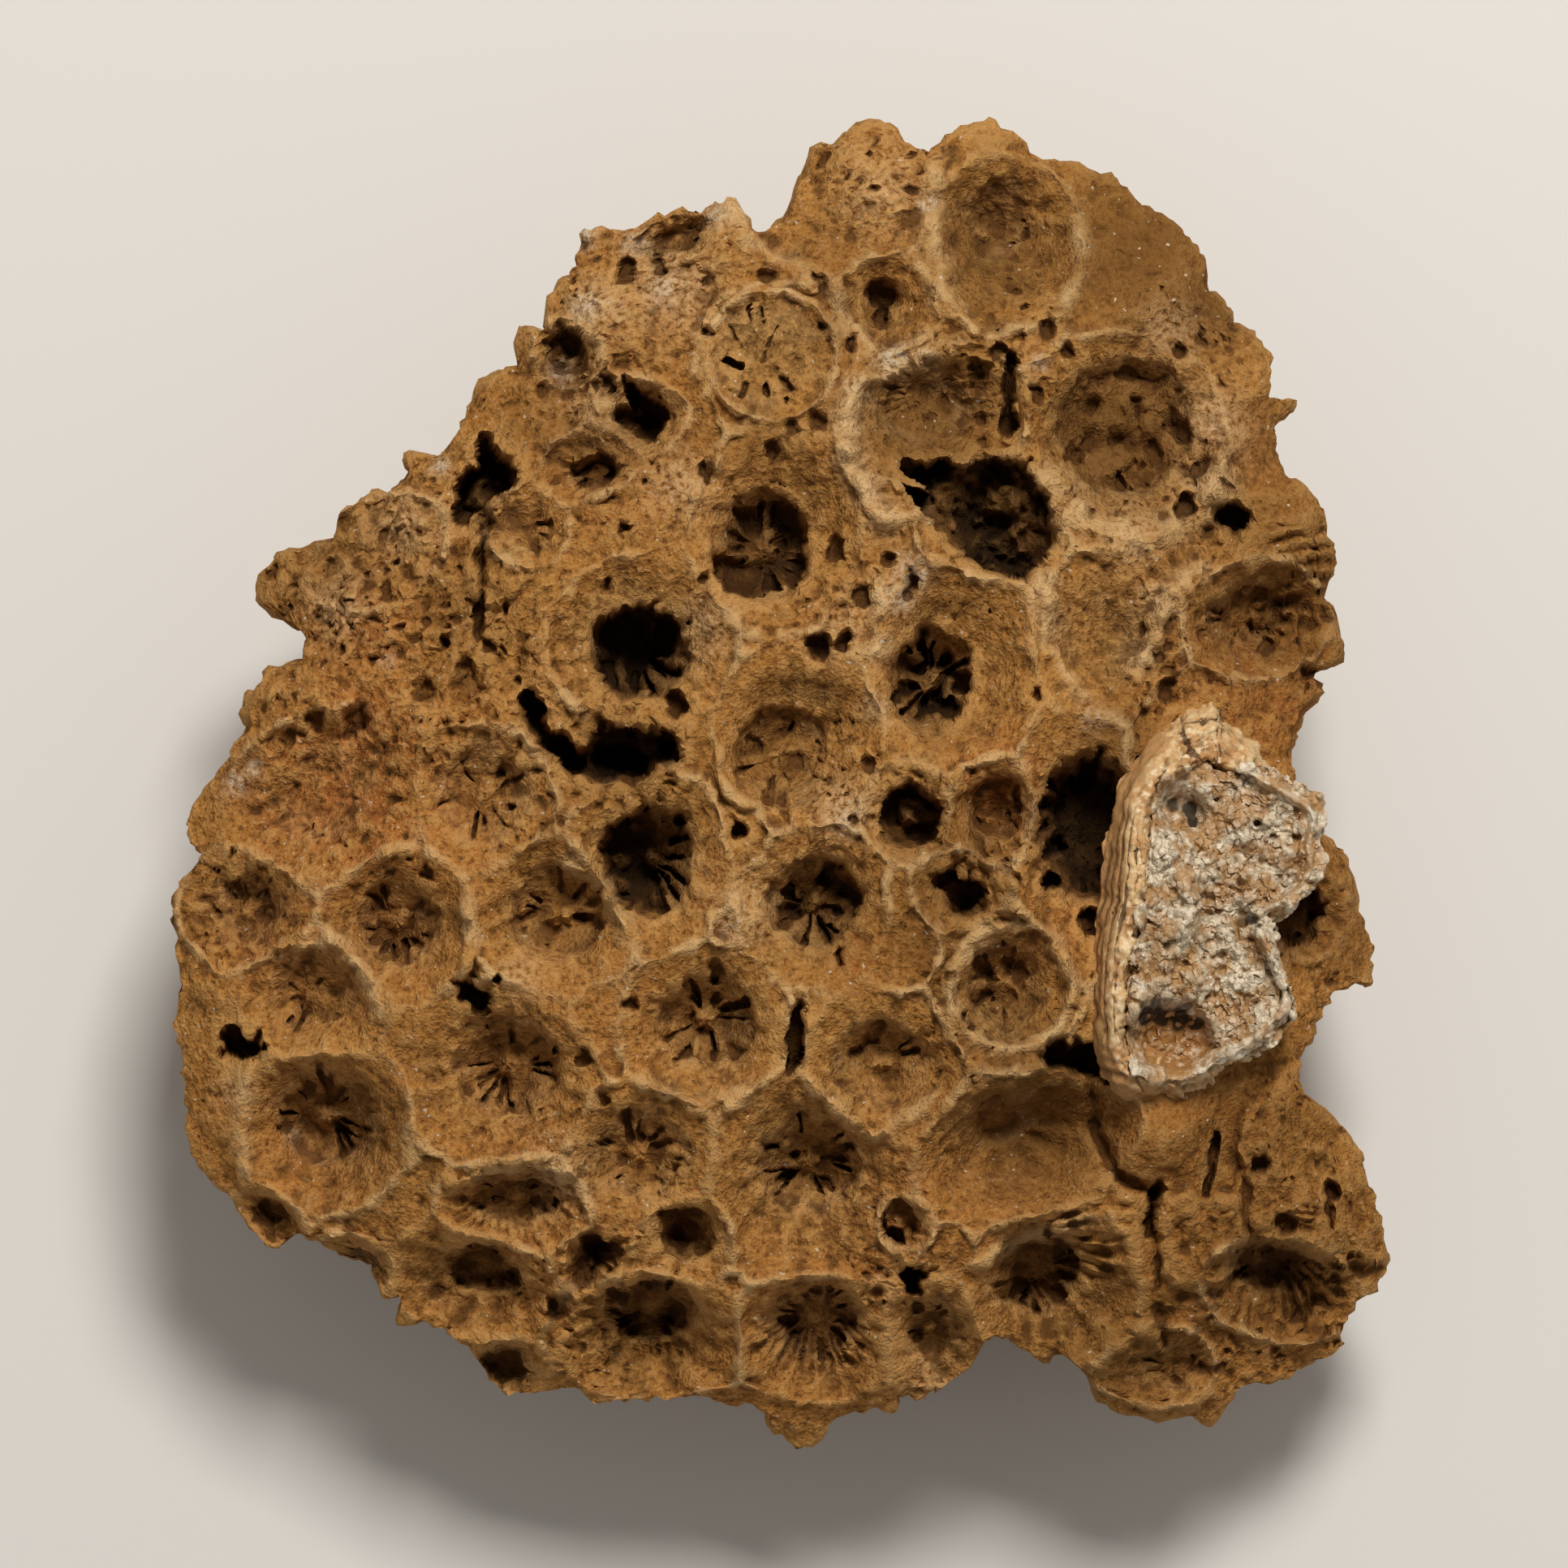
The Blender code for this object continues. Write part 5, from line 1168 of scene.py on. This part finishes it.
horn, sphere = add_sphere("broken_horn_coral", 8)
angle, out, down = spread_over_stone(sphere, HORN_SHARES)
on_crown = down <= 0
edge = edge_radius(HORN_EDGE, HORN_MIDDLE, angle)
rim_x, rim_y = HORN_MIDDLE[0] + edge * np.cos(angle), HORN_MIDDLE[1] + edge * np.sin(angle)
edge += 0.22 * flat_noise(rim_x, rim_y, 1.1, 4.0) * out**4
edge = edge * out * (1 - HORN_TAPER * down)
x, y = HORN_MIDDLE[0] + edge * np.cos(angle), HORN_MIDDLE[1] + edge * np.sin(angle)
face_x, face_y = np.where(on_crown, x, rim_x), np.where(on_crown, y, rim_y)
depth, dark = growth_lines(face_x, face_y)
top = horn_face(face_x, face_y) - depth * on_crown
points = np.stack([x, y, top + (HORN_BASE - top) * down], axis=1)
write_points(horn.data, points)

# The broken parts are faceted, most of all at the near end
grain = 0.24 * mineral_noise(points, 1.4, 12.0) + 0.12 * mineral_noise(points, 0.5, 15.0)
inside, left, width = horn_wall(face_x, face_y)
broken = np.maximum(smoothstep(1.8, 3.2, inside), smoothstep(0.62, 0.40, left)) * (1 - 0.7 * down)
near_end = 1 + 0.9 * smoothstep(-22.5, -25.5, y)
grain += broken * near_end * (0.28 * facets(x, y, 1.3, 31) + 0.20 * facets(x, y, 0.7, 32))
wrinkles = np.sin(2 * np.pi * (y + 0.4 * x) / FOOT_WRINKLE_PITCH) * spots(x, y, WRINKLED_FOOT)
points += point_normals(horn.data) * (grain + FOOT_WRINKLE_DEPTH * wrinkles)[:, None]
write_points(horn.data, points)

add_attribute(horn.data, "growth_line", dark * np.clip(1 - 4 * down, 0, 1))
add_attribute(horn.data, "inner", np.maximum(smoothstep(1.0, 2.6, inside), 0.8 * broken) * on_crown)
add_attribute(horn.data, "stain", spots(x, y, HORN_STAINS) * on_crown)
add_attribute(horn.data, "hollow", hollowness(horn.data, points, point_normals(horn.data), 20))
thin_out(horn, HORN_TRIANGLES)
shift_to_frame(horn)
bpy.ops.object.shade_smooth()

HORN_CREAM = (0.64, 0.44, 0.215)
HORN_PALE = (0.80, 0.65, 0.42)
HORN_TAN = (0.48, 0.27, 0.105)
HORN_STAIN = (0.42, 0.20, 0.065)
HORN_LINE_AND_SHADE = (0.10, 0.045, 0.016)

cream = Finish("cream_horn_coral_calcite", HORN_TAN, roughness=0.62, specular=0.4)
patches = cream.noise(3.4, 4.0)
grains = cream.noise(0.7, 4.0)
dust = cream.noise(0.25, 2.0)
hollow = cream.attribute("hollow")
fresh = cream.combine("ADD", cream.attribute("inner"), cream.between(patches, 0.35, 0.65, -0.35, 0.35))
cream.lay(HORN_CREAM, fresh)
cream.lay(HORN_STAIN, cream.between(patches, 0.49, 0.62, 0.0, 0.85))
cream.lay(HORN_PALE, cream.times(fresh, cream.between(grains, 0.50, 0.68, 0.0, 0.8)))
cream.lay(HORN_STAIN, cream.between(grains, 0.42, 0.28, 0.0, 0.7))
cream.lay(HORN_STAIN, cream.times(cream.attribute("stain"), cream.between(grains, 0.62, 0.40)))
# Painted shade in the horn coral's hollows
cream.lay(HORN_LINE_AND_SHADE, cream.between(hollow, 0.03, 0.16, 0.0, 0.6))
cream.lay(HORN_LINE_AND_SHADE, cream.between(cream.attribute("growth_line"), 0.15, 0.8, 0.0, 0.8))
cream.put_on(horn, bumps=((grains, 0.10), (dust, 0.04)))
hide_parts("horn_coral")
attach(horn, "root")

# The calcite crust
# Grey-white crystals that grew in the horn coral's broken face. They stand in lumps with flat facets, and
# leave two pockets open: one lined with grey, and one with a brown sugary floor.
CRUST_SHARES = (0.74, 0.14)
CRUST_TRIANGLES = 120000
CRUST_SHARP_ANGLE = 28
CRUST_MIDDLE = (37.0, -9.5)
CRUST_EDGE = [
    (42.6, -12), (44.8, -9.9), (46.8, -7.8), (47.3, -6.1), (46.7, -4.6), (47.3, -3.3), (47, -1.3),
    (45.3, -0.2), (43.6, 0.9), (41.6, 1.9), (39.3, 1.2), (37, 1.9), (34.5, 1.6), (32.6, 0.3), (32.3, -1.5),
    (32.6, -3.7), (32.2, -6.6), (31.2, -9.8), (30.8, -13.1), (30.4, -16.4), (30, -19.6), (30.1, -22.9),
    (30.5, -25), (32.6, -25.7), (35.9, -25.2), (38, -24.2), (39.1, -23.7), (40.6, -24), (42.9, -22),
    (44.7, -20.6), (44.7, -18.8), (43.8, -16.4), (43, -14.3),
]
CRUST_CLEARANCE = 0.45
CRUST_THICKNESS = 0.7
CRUST_LEVEL_FROM = 0.82
CRUST_EDGE_DROP = 0.6
LEAST_CRUST = 0.3

# Lumps of crystals: x, y, radius, height
CRUST_LUMPS = [
    (40, -3.2, 2.6, 1.9), (43.6, -5.6, 2.2, 1.7), (38.2, -7.4, 2.4, 1.3), (41, -9, 2.2, 1.5),
    (35.6, -8.4, 2.2, 1.2), (34.6, -12.6, 2.4, 1.2), (38.4, -13.4, 2.6, 1.6), (36.2, -16.8, 2.2, 1.5),
    (40.4, -17.6, 2.6, 1.7), (33.4, -17.2, 1.8, 1), (41.8, -20.6, 2, 1.2), (38, -20.6, 2.2, 1),
    (43, -1.8, 1.8, 1.2), (33.6, -6.2, 1.6, 0.9), (41.6, -13.6, 1.8, 1), (37.6, -0.4, 1.6, 0.8),
]

# Small holes between the crystals: x, y, radius, depth
CRUST_HOLES = [
    (35.6, -2.1, 0.8, 2.2), (41.4, -3.2, 0.35, 1.4), (41, -11.6, 0.8, 1.8), (40, -12, 0.6, 1.4),
    (38.3, -14.6, 0.4, 1), (37.2, -11.2, 0.4, 0.9), (32.4, -19, 0.7, 1.4), (35.4, -19.3, 0.5, 1.4),
    (33.4, -13.9, 0.4, 1), (35.1, -15.4, 0.4, 1), (39.4, -6.6, 0.4, 1), (43, -12.6, 0.5, 1.4),
    (37.8, -1.2, 0.5, 1.2), (36.9, -18.4, 0.4, 1.2), (41.2, -19, 0.4, 1), (34, -9.2, 0.4, 1),
    (31.6, -19.9, 1, 2.6), (33, -20.1, 1.1, 2.8), (34.6, -20.3, 1.1, 2.6), (36.2, -20.8, 0.9, 2.4),
    (35.9, -3.3, 0.8, 2.2), (34, -1.6, 0.7, 1.6), (33.2, -1, 0.5, 1.2), (42.8, -4.4, 0.4, 1),
    (39.8, -8.4, 0.4, 1),
]

crust, sphere = add_sphere("crust_of_calcite_crystals", 8)
angle, out, down = spread_over_stone(sphere, CRUST_SHARES)
edge = edge_radius(CRUST_EDGE, CRUST_MIDDLE, angle)
rim_x, rim_y = CRUST_MIDDLE[0] + edge * np.cos(angle), CRUST_MIDDLE[1] + edge * np.sin(angle)
edge += (0.6 * flat_noise(rim_x, rim_y, 1.5, 4.4) + 0.4 * flat_noise(rim_x, rim_y, 0.7, 7.4)) * out**4
x = CRUST_MIDDLE[0] + edge * out * np.cos(angle)
y = CRUST_MIDDLE[1] + edge * out * np.sin(angle)

# Lumps, sugary crusts and flat-faced crystals, thinner in the pockets and with holes between them
in_pocket = np.zeros(len(x))
for pocket_out, _ in out_of_pockets(x, y):
    ragged = pocket_out + 0.16 * flat_noise(x, y, 1.3, 2.1)
    in_pocket = np.maximum(in_pocket, 1 - smoothstep(0.75, 1.12, ragged))
sugar = 1.1 * np.abs(flat_noise(x, y, 2.4, 6.2)) + 0.25 * np.abs(flat_noise(x, y, 1.0, 3.7))
crystal = 0.55 * facets(x, y, 1.5, 3) + 0.34 * facets(x + 0.3 * y, y, 0.75, 4)
crystal += 0.20 * facets(x, y, 0.42, 5)
thickness = np.full(len(x), CRUST_THICKNESS)
for lump_x, lump_y, radius, rise in CRUST_LUMPS:
    thickness += 0.8 * rise * np.clip(1 - np.hypot(x - lump_x, y - lump_y) / radius, 0, 1) ** 0.8
thickness = thickness * (1 - 0.7 * in_pocket) + (sugar + crystal) * (1 - 0.35 * in_pocket)
in_hole = np.zeros(len(x))
for hole_x, hole_y, radius, deep in CRUST_HOLES:
    rough_radius = radius * (1 + 0.6 * flat_noise(x, y, 1.1, 6.6) + 0.3 * flat_noise(x, y, 0.6, 2.6))
    open_part = 1 - smoothstep(0.5, 1.2, np.hypot(x - hole_x, y - hole_y) / rough_radius)
    thickness -= deep * open_part
    in_hole = np.maximum(in_hole, open_part * min(1, deep / 2))

# Towards its edge the crust's top stays level while the horn coral's face falls away under it
inner = edge * np.minimum(out, CRUST_LEVEL_FROM)
inner_x, inner_y = CRUST_MIDDLE[0] + inner * np.cos(angle), CRUST_MIDDLE[1] + inner * np.sin(angle)
level = horn_face(inner_x, inner_y) - CRUST_EDGE_DROP * smoothstep(0.90, 1.0, out)
under = horn_face(x, y) + CRUST_CLEARANCE
grit = np.maximum(LEAST_CRUST, 0.35 * (sugar + crystal) + 0.25)
over = np.maximum(level + CRUST_CLEARANCE + np.maximum(thickness, 0.1), under + grit)
points = np.stack([x, y, under + (over - under) * (1 - down)], axis=1)
write_points(crust.data, points)

normals = point_normals(crust.data)
swelling = 0.20 * np.abs(mineral_noise(points, 1.3, 3.0)) + 0.22 * mineral_noise(points, 0.65, 6.0)
swelling *= 1 - down
swelling += 0.35 * mineral_noise(points, 0.8, 8.0) * smoothstep(0.85, 1.0, out + down)
points += normals * swelling[:, None]
write_points(crust.data, points)

add_attribute(crust.data, "pocket", in_pocket * np.where(y < -12, 1.0, 0.4))
# The hole attribute carries painted shade for the holes between the crystals
add_attribute(crust.data, "hole", in_hole * (1 - down))
add_attribute(crust.data, "hollow", hollowness(crust.data, points, normals, 20))
thin_out(crust, CRUST_TRIANGLES)
shift_to_frame(crust)
bpy.ops.object.shade_smooth()
bpy.ops.object.shade_smooth_by_angle(angle=np.radians(CRUST_SHARP_ANGLE))

SPAR_GREY = (0.34, 0.265, 0.18)
SPAR_WHITE = (0.70, 0.61, 0.46)
SPAR_TAN = (0.40, 0.215, 0.075)
SPAR_PAINTED_SHADE = (0.12, 0.055, 0.02)
POCKET_BROWN = (0.33, 0.155, 0.045)
SPAR_ROUGHNESS = 0.42

spar = Finish("grey_white_calcite_spar", SPAR_GREY, SPAR_ROUGHNESS, specular=0.35)
patches = spar.noise(2.6, 4.0)
grains = spar.noise(0.6, 4.0)
dust = spar.noise(0.2, 2.0)
hollow = spar.attribute("hollow")
hole = spar.attribute("hole")
spar.lay(SPAR_WHITE, spar.between(grains, 0.40, 0.56))
spar.lay(SPAR_TAN, spar.between(patches, 0.45, 0.55, 0.0, 0.85))
spar.lay(SPAR_TAN, spar.between(hollow, 0.04, 0.22, 0.0, 0.65))
spar.lay(POCKET_BROWN, spar.times(spar.attribute("pocket"), spar.between(grains, 0.70, 0.50)))
spar.lay(SPAR_WHITE, spar.between(hollow, -0.05, -0.25, 0.0, 0.4))
# Painted shade in the crust's deeper hollows
spar.lay(SPAR_PAINTED_SHADE, spar.between(hollow, 0.20, 0.55, 0.0, 0.5))
# Painted shade, near black, down the holes between the crystals
spar.lay(PAINTED_HOLE_SHADE, spar.between(hole, 0.30, 0.85, 0.0, 0.92))
spar.feed(spar.shader["Roughness"], spar.between(hole, 0.1, 0.6, SPAR_ROUGHNESS, 0.95))
spar.put_on(crust, bumps=((grains, 0.08), (dust, 0.06)))
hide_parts("calcite_crust")
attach(crust, "root")
